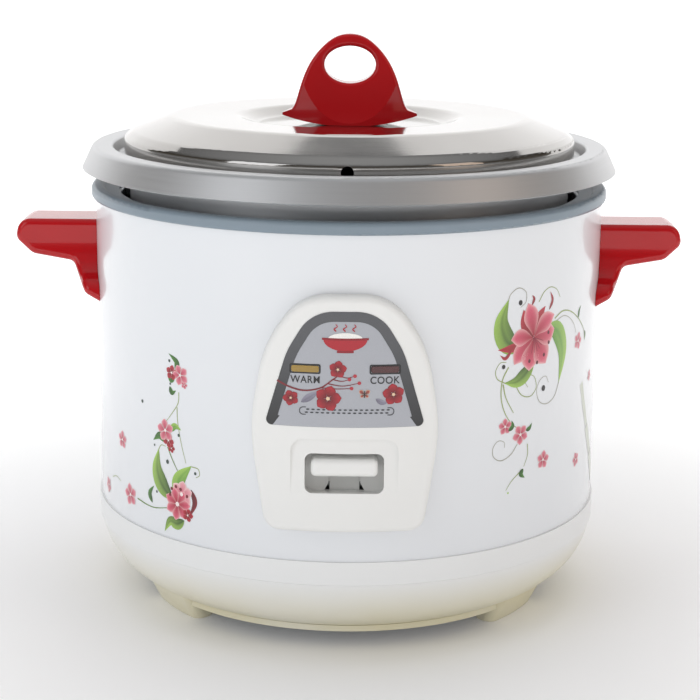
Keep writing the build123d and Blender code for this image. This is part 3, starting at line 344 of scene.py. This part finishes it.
def ribbon(line, half_width, across=5):
    """Grid of points at line + v * half_width * normal, for v from -1 to 1 across the line."""
    slope = np.gradient(line, axis=0)
    normal = np.stack([-slope[:, 1], slope[:, 0]], -1) / np.linalg.norm(slope, axis=1)[:, None]
    v = np.linspace(-1, 1, across)
    half = np.broadcast_to(half_width, len(line))[:, None, None]
    return line[:, None] + v[None, :, None] * half * normal[:, None]


def swell(u, fullest=0.5):
    """Half width of a leaf along its length: sine of pi times u to a power, widest at u = fullest."""
    return np.sin(pi * u ** (np.log(0.5) / np.log(fullest)))


def inks(*colours):
    return [np.array(linear(colour)[:3]) for colour in colours]


def blend_ink(weight, first, second):
    """Linear mix of two inks by a weight for each point."""
    weight = np.clip(weight, 0, 1)[..., None]
    return first * (1 - weight) + second * weight


# %% The elements of the print
class Print:
    """Grids on a flat sheet, in millimetres, each with its inks and its height in the stack."""

    def __init__(self):
        self.points, self.colours, self.faces, self.total = [], [], [], 0

    def grid(self, flat, colour, layer):
        """Adds one grid (n, m, 2). Layer k lies k hundredths of a millimetre above the first."""
        n, m = flat.shape[:2]
        u, v = np.arange(n - 1)[:, None], np.arange(m - 1)[None]
        corner = self.total + u * m + v
        self.faces.append(np.stack([corner, corner + m, corner + m + 1, corner + 1], -1).reshape(-1, 4))
        height = np.full((n, m, 1), 0.01 * layer)
        self.points.append(np.concatenate([flat, height], -1).reshape(-1, 3))
        self.colours.append(np.broadcast_to(colour, (n, m, 3)).reshape(-1, 3))
        self.total += n * m

    def shape(self, flat, triangles, colour, layer):
        """Adds loose triangles, such as those of a letter."""
        self.faces.append(triangles + self.total)
        self.points.append(np.column_stack([flat, np.full(len(flat), 0.01 * layer)]))
        self.colours.append(np.broadcast_to(colour, (len(flat), 3)))
        self.total += len(flat)

    def leaf(self, points, width, dark, light, layer=2, fullest=0.4):
        """Swelling ribbon: dark at the root and on one side of the midrib, light on the other side."""
        u, v = np.linspace(0, 1, 24), np.linspace(-1, 1, 7)
        colour = blend_ink(0.25 + 0.55 * u[:, None] + 0.3 * v[None] - 0.25 * (np.abs(v[None]) < 0.2),
                           *inks(dark, light))
        self.grid(ribbon(smooth_line(points), swell(u, fullest) * width / 2, 7), colour, layer)

    def tendril(self, points, width, colour, layer=1, taper=0.5):
        """Thin line, thinner towards its end."""
        count = 8 * len(points)
        half = width / 2 * (1 - taper * np.linspace(0, 1, count))
        self.grid(ribbon(smooth_line(points, count), half, 2), inks(colour)[0], layer)

    def dot(self, place, radius, colour, layer=6, squash=1.0):
        """Disc as a polar grid: radius times (cos, sin) from the centre out."""
        r, a = np.linspace(0, radius, 3)[:, None], np.linspace(0, -tau, 17)[None]
        flat = np.stack([place[0] + r * np.cos(a) * squash, place[1] + r * np.sin(a)], -1)
        self.grid(flat, inks(colour)[0], layer)

    def petal(self, root, angle, length, width, heart, middle, rim, bend=0.0, layer=3, fullest=0.62):
        """Leaf shape with its inks from the heart out, paler towards the rim, with three dark veins."""
        u, v = np.linspace(0, 1, 18), np.linspace(-1, 1, 9)
        turn = radians(angle) + bend * u
        line = np.asarray(root) + length * u[:, None] * np.stack([np.cos(turn), np.sin(turn)], -1)
        heart, middle, rim = inks(heart, middle, rim)
        outward = blend_ink(1.25 * u[:, None] - 0.1 + 0 * v, heart, middle)
        edge = np.abs(v)[None] ** 3 * u[:, None] ** 0.5 + np.maximum(u[:, None] - 0.8, 0) * 2.5
        colour = outward * (1 - np.clip(edge, 0, 1)[..., None]) + rim * np.clip(edge, 0, 1)[..., None]
        veins = 0.25 * (np.abs(np.abs(v)[None] - 0.5) > 0.45) * (1 - u[:, None])
        self.grid(ribbon(line, swell(u, fullest) * width / 2, 9), blend_ink(veins, colour, heart), layer)

    def blossom(self, place, size, turn, inks_of, petals=5, width=0.75, layer=3, eye="#F7E9E6"):
        """Petals of one size set round a small pale eye."""
        for k in range(petals):
            self.petal(place, turn + 360 * k / petals, size, size * width, *inks_of, layer=layer + 0.3 * k)
        self.dot(place, 0.14 * size, eye, layer + 3)

    def wrap(self, name, radius, rolled, lift_mm):
        """Rolls the sheet on a drum: (x, z) goes to (R sin a, -R cos a, z), with a = x / R if it is
        rolled, or asin(x / R) if it is pressed on from the front."""
        flat = np.concatenate(self.points) * MM
        angle = flat[:, 0] / radius if rolled else np.arcsin(flat[:, 0] / radius)
        out = radius + flat[:, 2] + lift_mm * MM
        places = np.stack([out * np.sin(angle), -out * np.cos(angle), flat[:, 1]], -1)
        mesh = bpy.data.meshes.new(name)
        mesh.from_pydata(places.tolist(), [], sum((block.tolist() for block in self.faces), []))
        ink = mesh.attributes.new("ink", "FLOAT_COLOR", "POINT")
        rgba = np.concatenate([np.concatenate(self.colours), np.ones((len(places), 1))], -1)
        ink.data.foreach_set("color", rgba.astype(np.float32).ravel())
        close_and_face_out(mesh)
        return mesh


def close_and_face_out(mesh):
    """Merges the points that meet at tips and centres, drops empty faces, and turns faces outwards."""
    work = bmesh.new()
    work.from_mesh(mesh)
    bmesh.ops.remove_doubles(work, verts=work.verts, dist=2e-6)
    bmesh.ops.dissolve_degenerate(work, edges=work.edges, dist=1e-7)
    for face in work.faces:
        middle = face.calc_center_median()
        if face.normal.dot(Vector((middle.x, middle.y, 0))) < 0:
            face.normal_flip()
    work.to_mesh(mesh)
    work.free()
    mesh.shade_smooth()


# %% Ink
# Transfer inks under a thin clear film: a satin colour with the grain of the screen, 0.4 mm.
print_ink, tree, shader = start("transfer_print_ink", IOR=1.5, Coat_Weight=0.3, Coat_Roughness=0.1)
screen = grain(tree, 0.4)
ink = add(tree, "Attribute", attribute_name="ink").outputs["Color"]
shade = add(tree, "HueSaturation", {"Value": spread(tree, screen, 0.92, 1.08), "Color": ink})
tree.links.new(shade.outputs["Color"], shader.inputs["Base Color"])
tree.links.new(spread(tree, screen, 0.28, 0.36), shader.inputs["Roughness"])

# %% [markdown]
# ## The garden on the drum
# Two loose sprays stand either side of the control panel. The right one has a large lily with
# three broad leaves and a scroll of tendrils. The left one climbs from a cluster of small flowers.
# Only the inks are shared: each flower gets its own turn and size, as a hand would draw it.

# %% Inks of the print
lily = ("#A3142F", "#D95672", "#F1C4C2")
pale_pink = ("#B5304C", "#DB7488", "#F0CDCB")
deep_red = ("#7E0B1C", "#B01A2E", "#C23A48")
dark_green, green, light_green, moss = "#1F4416", "#4E8A2C", "#A6CC5C", "#9AA86C"
black = "#1C1618"

# %% The right-hand spray
garden = Print()
for angle, length, width in ((128, 16, 7.5), (72, 17, 6.0), (-158, 22, 4.5)):
    garden.petal((97, 153), angle, length, width, *deep_red, bend=-0.25, layer=3, fullest=0.5)
for angle, length, width, bend in ((96, 18, 10, 0.15), (48, 18, 9.5, -0.3), (2, 16, 12, 0.1),
                                   (-50, 17, 12, -0.1), (-105, 16, 12, 0.1), (-155, 17, 9.5, 0.3),
                                   (165, 15, 8.5, 0.2)):
    garden.petal((98, 153), angle, length, width, *lily, bend=bend, layer=4 + angle / 400, fullest=0.6)
for angle in (-100, -84, -68, -52, -36, -18):
    tip = (98 + 7.5 * cos(radians(angle)), 153 + 7.5 * sin(radians(angle)))
    halfway = ((98 + tip[0]) / 2 + 0.3, (153 + tip[1]) / 2)
    garden.tendril([(98, 153), halfway, tip], 0.55, "#8E1330", layer=6)
for place in ((109, 154), (109.5, 149), (106, 143.5), (101, 140.5), (95.5, 142)):
    garden.dot(place, 0.95, "#5A0E1E", layer=8, squash=0.85)
garden.leaf([(96, 169), (97.5, 172), (96, 174)], 1.6, "#7E1A22", "#B0303A", layer=7)
garden.leaf([(109, 165), (111.5, 169.5), (109.5, 174)], 1.8, "#7E1A22", "#C04048", layer=7)
garden.leaf([(84, 149.5), (80, 145.5), (76.5, 147.5)], 1.8, "#8E1A26", "#C23A48", layer=7)
garden.leaf([(91, 150), (81, 153), (77, 163), (81, 174)], 11.0, dark_green, light_green)
garden.leaf([(108, 157), (117, 153), (122, 142), (119.5, 127)], 10.0, green, light_green)
garden.leaf([(99, 142), (93, 136), (87, 133), (79.5, 133.5)], 7.5, dark_green, light_green)
scrolls = [
    [(80.5, 172), (82, 176), (87, 178.5), (91.8, 176), (92, 171.5), (88.5, 169)],
    [(101, 170), (105, 174.5), (110, 176), (115, 174), (118, 170)],
    [(114, 160), (121, 162.5), (129, 161), (138, 156), (146, 149), (148, 143)],
    [(115, 158.5), (122, 160), (128, 158), (133, 154), (136, 149)],
    [(80, 133.5), (75.5, 136), (74.3, 140), (77, 143.7), (80.5, 143.5)],
    [(87, 131), (91, 126), (97, 124.5), (101, 128), (99.7, 133.3), (96, 135), (93.4, 132), (95, 129.3)],
    [(119.6, 127.5), (116, 121), (110, 118.5), (104, 120.5), (101.5, 126), (103.5, 131), (108, 132.5),
     (110.6, 129)],
    [(82, 141), (78.5, 135), (78, 127), (80, 120), (84, 114), (90, 109)],
    [(79, 133), (81, 126), (86, 118)],
    [(89, 102), (85, 97.5), (79, 95.5), (74.5, 98), (74, 102.5), (77, 105.5), (80.5, 104.5), (81, 101.7)],
    [(96, 101), (96.4, 95.5), (94, 90)],
    [(91, 87.5), (86, 84), (82.5, 80)],
]
for k, line in enumerate(scrolls):
    garden.tendril(line, 0.75 if k in (2, 7, 8) else 0.55, moss if k % 3 else "#A9A89C", layer=1 + 0.05 * k)
for place, radius in (((88.4, 171.3), 1.3), ((79, 141.5), 1.1), ((106.6, 126.8), 1.5)):
    garden.dot(place, radius, black, squash=0.9)
for place, size, turn in (((81, 112), 4.2, 20), ((91, 106.5), 5.2, 50), ((108.3, 90.5), 4.8, 10),
                          ((142, 82.5), 4.0, 35), ((139, 144.3), 4.6, 0), ((160, 122), 3.2, 60)):
    garden.blossom(place, size, turn, pale_pink)
for line, width in (([(83, 109.5), (85.6, 111.5), (85, 114.5)], 2.4),
                    ([(94.5, 108), (97, 108.6), (98.8, 111)], 2.2),
                    ([(93.6, 89), (92.2, 86.5), (94.8, 84.2)], 2.8),
                    ([(138.4, 156), (138.8, 159), (141, 162)], 2.0),
                    ([(147.6, 148), (148.6, 145.5), (147.6, 142.5)], 1.8)):
    garden.leaf(line, width, dark_green, green, layer=5)
garden.dot((84, 78.5), 0.5, light_green)

# %% The left-hand spray
for line, width, tips in (
        ([(-87, 137), (-86.2, 141), (-91.5, 144.6)], 3.2, (dark_green, green)),
        ([(-87.5, 134), (-90, 131.5), (-92.3, 133.6)], 2.4, (dark_green, green)),
        ([(-91, 128.5), (-89.6, 125.6), (-86.8, 127)], 2.6, (dark_green, green)),
        ([(-94, 100), (-98.5, 102.6), (-103.5, 99.4)], 4.0, (dark_green, green)),
        ([(-91, 106), (-88, 109.2), (-83.8, 108)], 3.4, (green, light_green)),
        ([(-90, 72), (-97.5, 78), (-101, 86), (-99.5, 96)], 9.5, (dark_green, light_green)),
        ([(-87, 74), (-85.5, 83), (-77.5, 91.5)], 8.0, (green, light_green)),
        ([(-82.5, 63), (-87, 60.4), (-92, 60.6), (-96, 54.6)], 6.0, (dark_green, light_green)),
        ([(-105, 67), (-107, 71.5), (-103.5, 76.2)], 3.0, (dark_green, green)),
        ([(-78, 79.5), (-75.8, 73), (-79.5, 65)], 3.0, ("#4A0F16", "#8E1A26"))):
    garden.leaf(line, width, *tips)
stems = [
    [(-85, 126.5), (-85.6, 121), (-90, 115), (-94.3, 110)],
    [(-86.3, 119), (-86, 112), (-84, 102), (-81, 92)],
    [(-93, 98), (-90, 92.5), (-85.6, 86)],
    [(-148, 69), (-142, 71), (-136, 70)],
    [(-118, 66), (-110, 65), (-103, 65), (-94, 67)],
    [(-77.5, 91), (-73.5, 90.5), (-72.8, 87.5), (-75, 86)],
    [(-99.5, 95.5), (-97.6, 98), (-94.5, 98)],
]
for k, line in enumerate(stems):
    width, ink = (0.8, "#6E8A4A") if k in (2, 4) else (0.55, moss)
    garden.tendril(line, width, ink, layer=1 + 0.05 * k)
for place, radius in (((-91, 141), 0.75), ((-90.6, 129.8), 0.6), ((-85.4, 105.2), 0.8), ((-112, 117), 0.9),
                      ((-101.4, 73.6), 0.7), ((-93.2, 90.5), 1.1), ((-75.3, 88), 0.8), ((-102.6, 97), 0.6)):
    garden.dot(place, radius, "#3A4A44", squash=0.9)
for place, size, turn, tones in (((-89.6, 135.4), 3.8, 10, deep_red), ((-84, 135), 5.2, 40, pale_pink),
                                 ((-81.5, 130.6), 2.0, 0, pale_pink), ((-94.5, 106), 5.8, 25, pale_pink),
                                 ((-92.4, 101.4), 3.8, 60, deep_red), ((-90.4, 97.8), 2.4, 0, deep_red),
                                 ((-133, 92.5), 4.8, 15, pale_pink), ((-156, 62.5), 4.4, 50, pale_pink),
                                 ((-125, 66), 6.0, 30, pale_pink)):
    garden.blossom(place, size, turn, tones)
garden.blossom((-84, 76), 7.0, 20, ("#D0637A", "#E9A4AC", "#F7E3DE"), petals=6, layer=4)
garden.blossom((-86.8, 70.5), 8.4, 55, lily, petals=7, width=0.62, layer=6)
for place in ((-90.5, 77.6), (-87.6, 79.2), (-84.6, 78.4), (-91.6, 74.4), (-80.5, 75.6)):
    garden.dot(place, 0.85, "#7A1526", layer=12)
garden.blossom((-80.2, 66.2), 3.4, 0, deep_red, layer=9)

# %% A faint cane of bamboo behind the right-hand spray
canes = (((182, 62), (169, 79)), ((168.4, 80), (158, 96)), ((157.4, 97), (146, 121)))
for k, (low, high) in enumerate(canes):
    line = smooth_line([low, ((low[0] + high[0]) / 2 - 0.4, (low[1] + high[1]) / 2), high], 14)
    garden.grid(ribbon(line, np.full(14, 3.4 - 0.7 * k), 5),
                blend_ink(np.linspace(0, 1, 5)[None] + np.zeros((14, 1)), *inks("#BFC6B4", "#D3D8CC")), 0.5)
print_mesh = garden.wrap("flower_print", drum_radius, rolled=True, lift_mm=0.05)
flower_print = show("flower_print", print_mesh, print_ink)
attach(flower_print, "cooker_body")
print(len(print_mesh.polygons), "faces in the flower print")

# %% [markdown]
# ## The label on the panel
# The plate is printed foil: a charcoal border that fades towards the bottom, black surrounds for the
# two lenses, a bowl of rice, and a branch with blossoms. The marks are drawn as outlines with
# rounded corners, and the two plain words come from the built-in face. The sheet is pressed on
# from the front, so widths hold as seen straight on.

# %% Outlines and words
def rounded(corners, radii, steps=9):
    """Closed outline: an arc at each corner, centred radius / sin(half angle) away. Also gives the
    corners and the direction in which each one moves when the outline shrinks."""
    corners, radii = np.array(corners, float), np.array(radii, float)[:, None]
    sides = [np.roll(corners, shift, 0) - corners for shift in (1, -1)]
    back, ahead = (side / np.linalg.norm(side, axis=1)[:, None] for side in sides)
    half = np.arccos((back * ahead).sum(1))[:, None] / 2
    inward = (back + ahead) / np.linalg.norm(back + ahead, axis=1)[:, None]
    centre = corners + inward * radii / np.sin(half)
    first, last = (corners + side * radii / np.tan(half) - centre for side in (back, ahead))
    t, span = np.linspace(0, 1, steps)[None, :, None], (pi - 2 * half)[:, None]
    arcs = np.sin((1 - t) * span) * first[:, None] + np.sin(t * span) * last[:, None]
    outline = (centre[:, None] + arcs / np.sin(span)).reshape(-1, 2)
    return np.vstack([outline, outline[:1]]), corners, inward / np.sin(half)


def ring(corners, radii, width, across=5):
    """Band between an outline and the same outline moved inwards by the width."""
    outer, corners, inward = rounded(corners, radii)
    inner = rounded(corners + inward * width, np.maximum(np.array(radii) - width, 0.3))[0]
    part = np.linspace(0, 1, across)[:, None, None]
    return outer * (1 - part) + inner * part


def box_corners(x, z, wide, high):
    return [(x + wide / 2, z + high / 2), (x + wide / 2, z - high / 2),
            (x - wide / 2, z - high / 2), (x - wide / 2, z + high / 2)]


def word(sheet, text, place, size, colour, layer):
    """A word as triangles, made bold by an offset and stretched to its width and height."""
    curve = bpy.data.curves.new("word", "FONT")
    curve.body, curve.offset, curve.space_character = text, 0.008, 1.08
    holder = bpy.data.objects.new("word", curve)
    bpy.context.scene.collection.objects.link(holder)
    mesh = bpy.data.meshes.new_from_object(holder.evaluated_get(bpy.context.evaluated_depsgraph_get()))
    mesh.calc_loop_triangles()
    spots = np.empty(len(mesh.vertices) * 3, np.float32)
    mesh.vertices.foreach_get("co", spots)
    triangles = np.empty(len(mesh.loop_triangles) * 3, np.int32)
    mesh.loop_triangles.foreach_get("vertices", triangles)
    bpy.data.objects.remove(holder)
    bpy.data.curves.remove(curve)
    bpy.data.meshes.remove(mesh)
    spots = spots.reshape(-1, 3)[:, :2]
    low, high = spots.min(0), spots.max(0)
    sheet.shape((spots - (low + high) / 2) / (high - low) * size + place, triangles.reshape(-1, 3),
                inks(colour)[0], layer)


def half_disc(place, wide, high, count=15):
    """Half ellipse as a polar grid; a negative height hangs it below its flat side."""
    r, a = np.linspace(0, 1, 3)[:, None], np.linspace(0, pi, count)[None]
    return np.stack([place[0] + wide * r * np.cos(a), place[1] + high * r * np.sin(a)], -1)


# %% The label's print
plate = Print()
edge = [(15.33, 174), (26.65, 155.1), (36.87, 120), (-36.87, 120), (-26.65, 155.1), (-15.33, 174)]
flat = ring(edge, [18, 40, 2.5, 2.5, 40, 18], 4.6)
tone = blend_ink((flat[..., 1] - 121) / 40, *inks("#28282A", "#56575B"))
glow = np.exp(-(flat[..., 0] / 15) ** 2) * (flat[..., 1] < 126)
plate.grid(flat, blend_ink(glow, tone, inks("#8E9195")[0]), 1)
for x, text in ((-18.2, "WARM"), (18.2, "COOK")):
    plate.grid(ring(box_corners(x, 147.3, 14.2, 4.6), [0.9] * 4, 0.75, 2), inks("#1A1A1C")[0], 8)
    word(plate, text, (x, 142.3), (13.4, 3.4), "#1E1E20", 8)

plate.grid(half_disc((0, 161.4), 10.0, -5.6), inks("#B01526")[0], 6)
plate.grid(half_disc((0, 161.6), 7.8, 2.7), inks("#F3F1EC")[0], 5)
plate.tendril([(-10.6, 161.5), (0, 161.3), (10.6, 161.5)], 1.0, "#8E1020", layer=7, taper=0)
plate.tendril([(-3.8, 155.6), (0, 155.5), (3.8, 155.6)], 1.1, "#8E1020", layer=7, taper=0)
for x in (-4.2, 0, 4.2):
    plate.tendril([(x, 165.0), (x - 0.9, 166.1), (x + 0.5, 167.2), (x - 0.2, 168.3)], 0.65, "#B01526", 6)

branch = [(-31, 141.2), (-25, 138.4), (-18.3, 137.1), (-11, 138.6), (-5.5, 142.6), (-1, 146)]
plate.tendril(branch, 0.9, "#7C2028", layer=3, taper=0.4)
for line in ([(-5.5, 142.6), (-1.5, 141.8), (2, 142.7)], [(-2.8, 144.5), (1, 143.4), (4.5, 144.3)],
             [(-8, 140.6), (-1, 139.6), (6.5, 141)], [(-11, 138.6), (-4, 138.2), (3, 138.5)]):
    plate.tendril(line, 0.55, "#7C2028", layer=3)
    plate.dot(line[-1], 0.85, "#B5303C", layer=6)
plate.leaf([(-20, 131.5), (-15.5, 134.5), (-12, 137)], 3.4, "#6E6A7A", "#9B98A8", layer=3)
plate.leaf([(14, 133.5), (17, 131.8), (20, 132)], 2.4, "#6E6A7A", "#9B98A8", layer=3)
petals = ("#5E0C16", "#B4202E", "#8A1420")
for place, size, turn in (((-3.3, 147.3), 4.2, 10), ((-24.7, 133.3), 3.8, 40), ((-7.7, 133.6), 6.2, 75),
                          ((22.1, 135.5), 5.2, 25)):
    plate.blossom(place, size, turn, petals, width=0.85, layer=5, eye="#E9C9A8")
for angle, size in ((38, 3.1), (142, 3.1), (-35, 2.3), (-145, 2.3)):
    plate.petal((8.9, 135.7), angle, size, size * 0.7, "#3E2A30", "#B4483C", "#E8D4B4", layer=6)
plate.tendril([(8.9, 134.2), (8.9, 137.4)], 0.6, "#2A2022", layer=9)

plate.grid(ring(box_corners(0.85, 127.55, 43.5, 3.9), [1.9] * 4, 0.45, 2), inks("#4A4B50")[0], 5)
for k, x in enumerate(np.linspace(-17.5, 19.2, 16)):
    for z in (126.85, 128.3):
        plate.dot((x + 0.6 * (z > 127), z), 0.36, "#3E3F44", layer=5, squash=2.2)
label_mesh = plate.wrap("label_art", label_radius, rolled=False, lift_mm=0.12)
label_art = show("label_art", label_mesh, print_ink)
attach(label_art, "cooker_body")
print(len(label_mesh.polygons), "faces on the label")

# %% [markdown]
# ## Floor, backdrop, light and camera
# The cooker stands in a plain white sweep: a floor that curves up into a wall, so that no horizon
# shows. Soft boxes light it from both sides and from above. The polished lid would look dead in an
# all-white room, so reflections see a room that is dim at eye level and bright above and below. The
# front and top boxes are hidden from reflections, which keeps the red and the lid from washing out.

# %% The sweep
# floor, then a quarter circle, then a wall: the arc length along the profile is the parameter
length = np.linspace(-3.0, 4.2, 145)
bend_start, bend_radius = 1.2, 0.8
turn = np.clip((length - bend_start) / bend_radius, 0, pi / 2)
past = np.maximum(length - bend_start - bend_radius * pi / 2, 0)
profile_y = np.minimum(length, bend_start) + bend_radius * np.sin(turn)
profile_z = bend_radius * (1 - np.cos(turn)) + past
width = np.array([-3.5, 3.5])
sweep = np.stack(np.broadcast_arrays(width[:, None], profile_y[None], profile_z[None]), -1)
paper, tree, shader = start("studio_paper_white", Roughness=0.7, Specular_IOR_Level=0.2,
                            Emission_Color=linear("#FFFFFF"))
# a faint glow away from the cooker stands for the lit backdrop, and leaves its soft shadow alone
away = add(tree, "VectorMath", {0: add(tree, "TexCoord").outputs["Object"]}, operation="LENGTH")
glow = add(tree, "MapRange", {"Value": away.outputs["Value"], "From Min": 0.12, "From Max": 0.6,
                              "To Min": 0.05, "To Max": 0.55}, interpolation_type="SMOOTHSTEP")
tree.links.new(glow.outputs["Result"], shader.inputs["Emission Strength"])
tree.links.new(tint(tree, grain(tree, 200.0), linear("#F6F6F6"), linear("#F3F3F4")),
               shader.inputs["Base Color"])
floor = show("studio_sweep", sheet_mesh("studio_sweep", sweep), paper)

# %% Light
def soft_box(name, place, target, size, power, colour="#FFFFFF"):
    """A rectangular area light at a place, turned to face its target."""
    light = bpy.data.lights.new(name, "AREA")
    light.shape, light.size, light.size_y = "RECTANGLE", *size
    light.energy, light.color = power, linear(colour)[:3]
    lamp = bpy.data.objects.new(name, light)
    lamp.location = place
    lamp.rotation_euler = (Vector(target) - Vector(place)).to_track_quat("-Z", "Y").to_euler()
    bpy.context.scene.collection.objects.link(lamp)
    return lamp


centre = (0.0, 0.0, 0.13)
soft_box("box_left", (-1.3, -1.2, 0.9), centre, (0.9, 1.2), 5.3, "#F8FBFF")
soft_box("box_right", (1.4, -0.9, 0.9), centre, (0.7, 1.1), 2.2, "#FFE6D2")
top = soft_box("box_top", (0.0, 0.1, 1.7), centre, (1.2, 1.0), 4.0)
top.visible_glossy = False
front = soft_box("box_front", (-0.1, -2.2, 0.7), centre, (1.6, 1.0), 3.5)
front.visible_glossy = False

world = bpy.data.worlds.new("studio_room")
bpy.context.scene.world = world
world.use_nodes = True
tree = world.node_tree
background = tree.nodes["Background"]
path = add(tree, "LightPath")
view_line = add(tree, "SeparateXYZ", {"Vector": add(tree, "TexCoord").outputs["Generated"]})
room = add(tree, "ValToRGB", {"Fac": add(tree, "MapRange", {
    "Value": view_line.outputs["Z"], "From Min": -0.3, "From Max": 1.0}).outputs["Result"]})
steps = [(0.0, "#F2F2F2"), (0.24, "#C9CACB"), (0.36, "#8F8A82"), (0.55, "#645D54"), (0.8, "#BFC0C2"),
         (1.0, "#F4F6F8")]
elements = room.color_ramp.elements
for _ in steps[2:]:
    elements.new(0.5)
for element, (place, colour) in zip(elements, steps):
    element.position, element.color = place, linear(colour)
seen = add(tree, "Mix", {0: path.outputs["Is Glossy Ray"], 6: linear("#FFFFFF"),
                         7: room.outputs["Color"]}, data_type="RGBA")
tree.links.new(seen.outputs[2], background.inputs["Color"])
background.inputs["Strength"].default_value = 0.5
bpy.context.scene.view_settings.view_transform = "Standard"

# %% Camera
camera = bpy.data.objects.new("camera", bpy.data.cameras.new("camera"))
camera.data.lens, camera.data.sensor_width = 94.5, 36.0
camera.matrix_world = (Matrix.Translation((0.0068, -0.9452, 0.3507))
                       @ Matrix.Rotation(0.0058, 4, "Z")
                       @ Matrix.Rotation(radians(76.47), 4, "X")
                       @ Matrix.Rotation(0.0097, 4, "Z"))
bpy.context.scene.collection.objects.link(camera)
bpy.context.scene.camera = camera
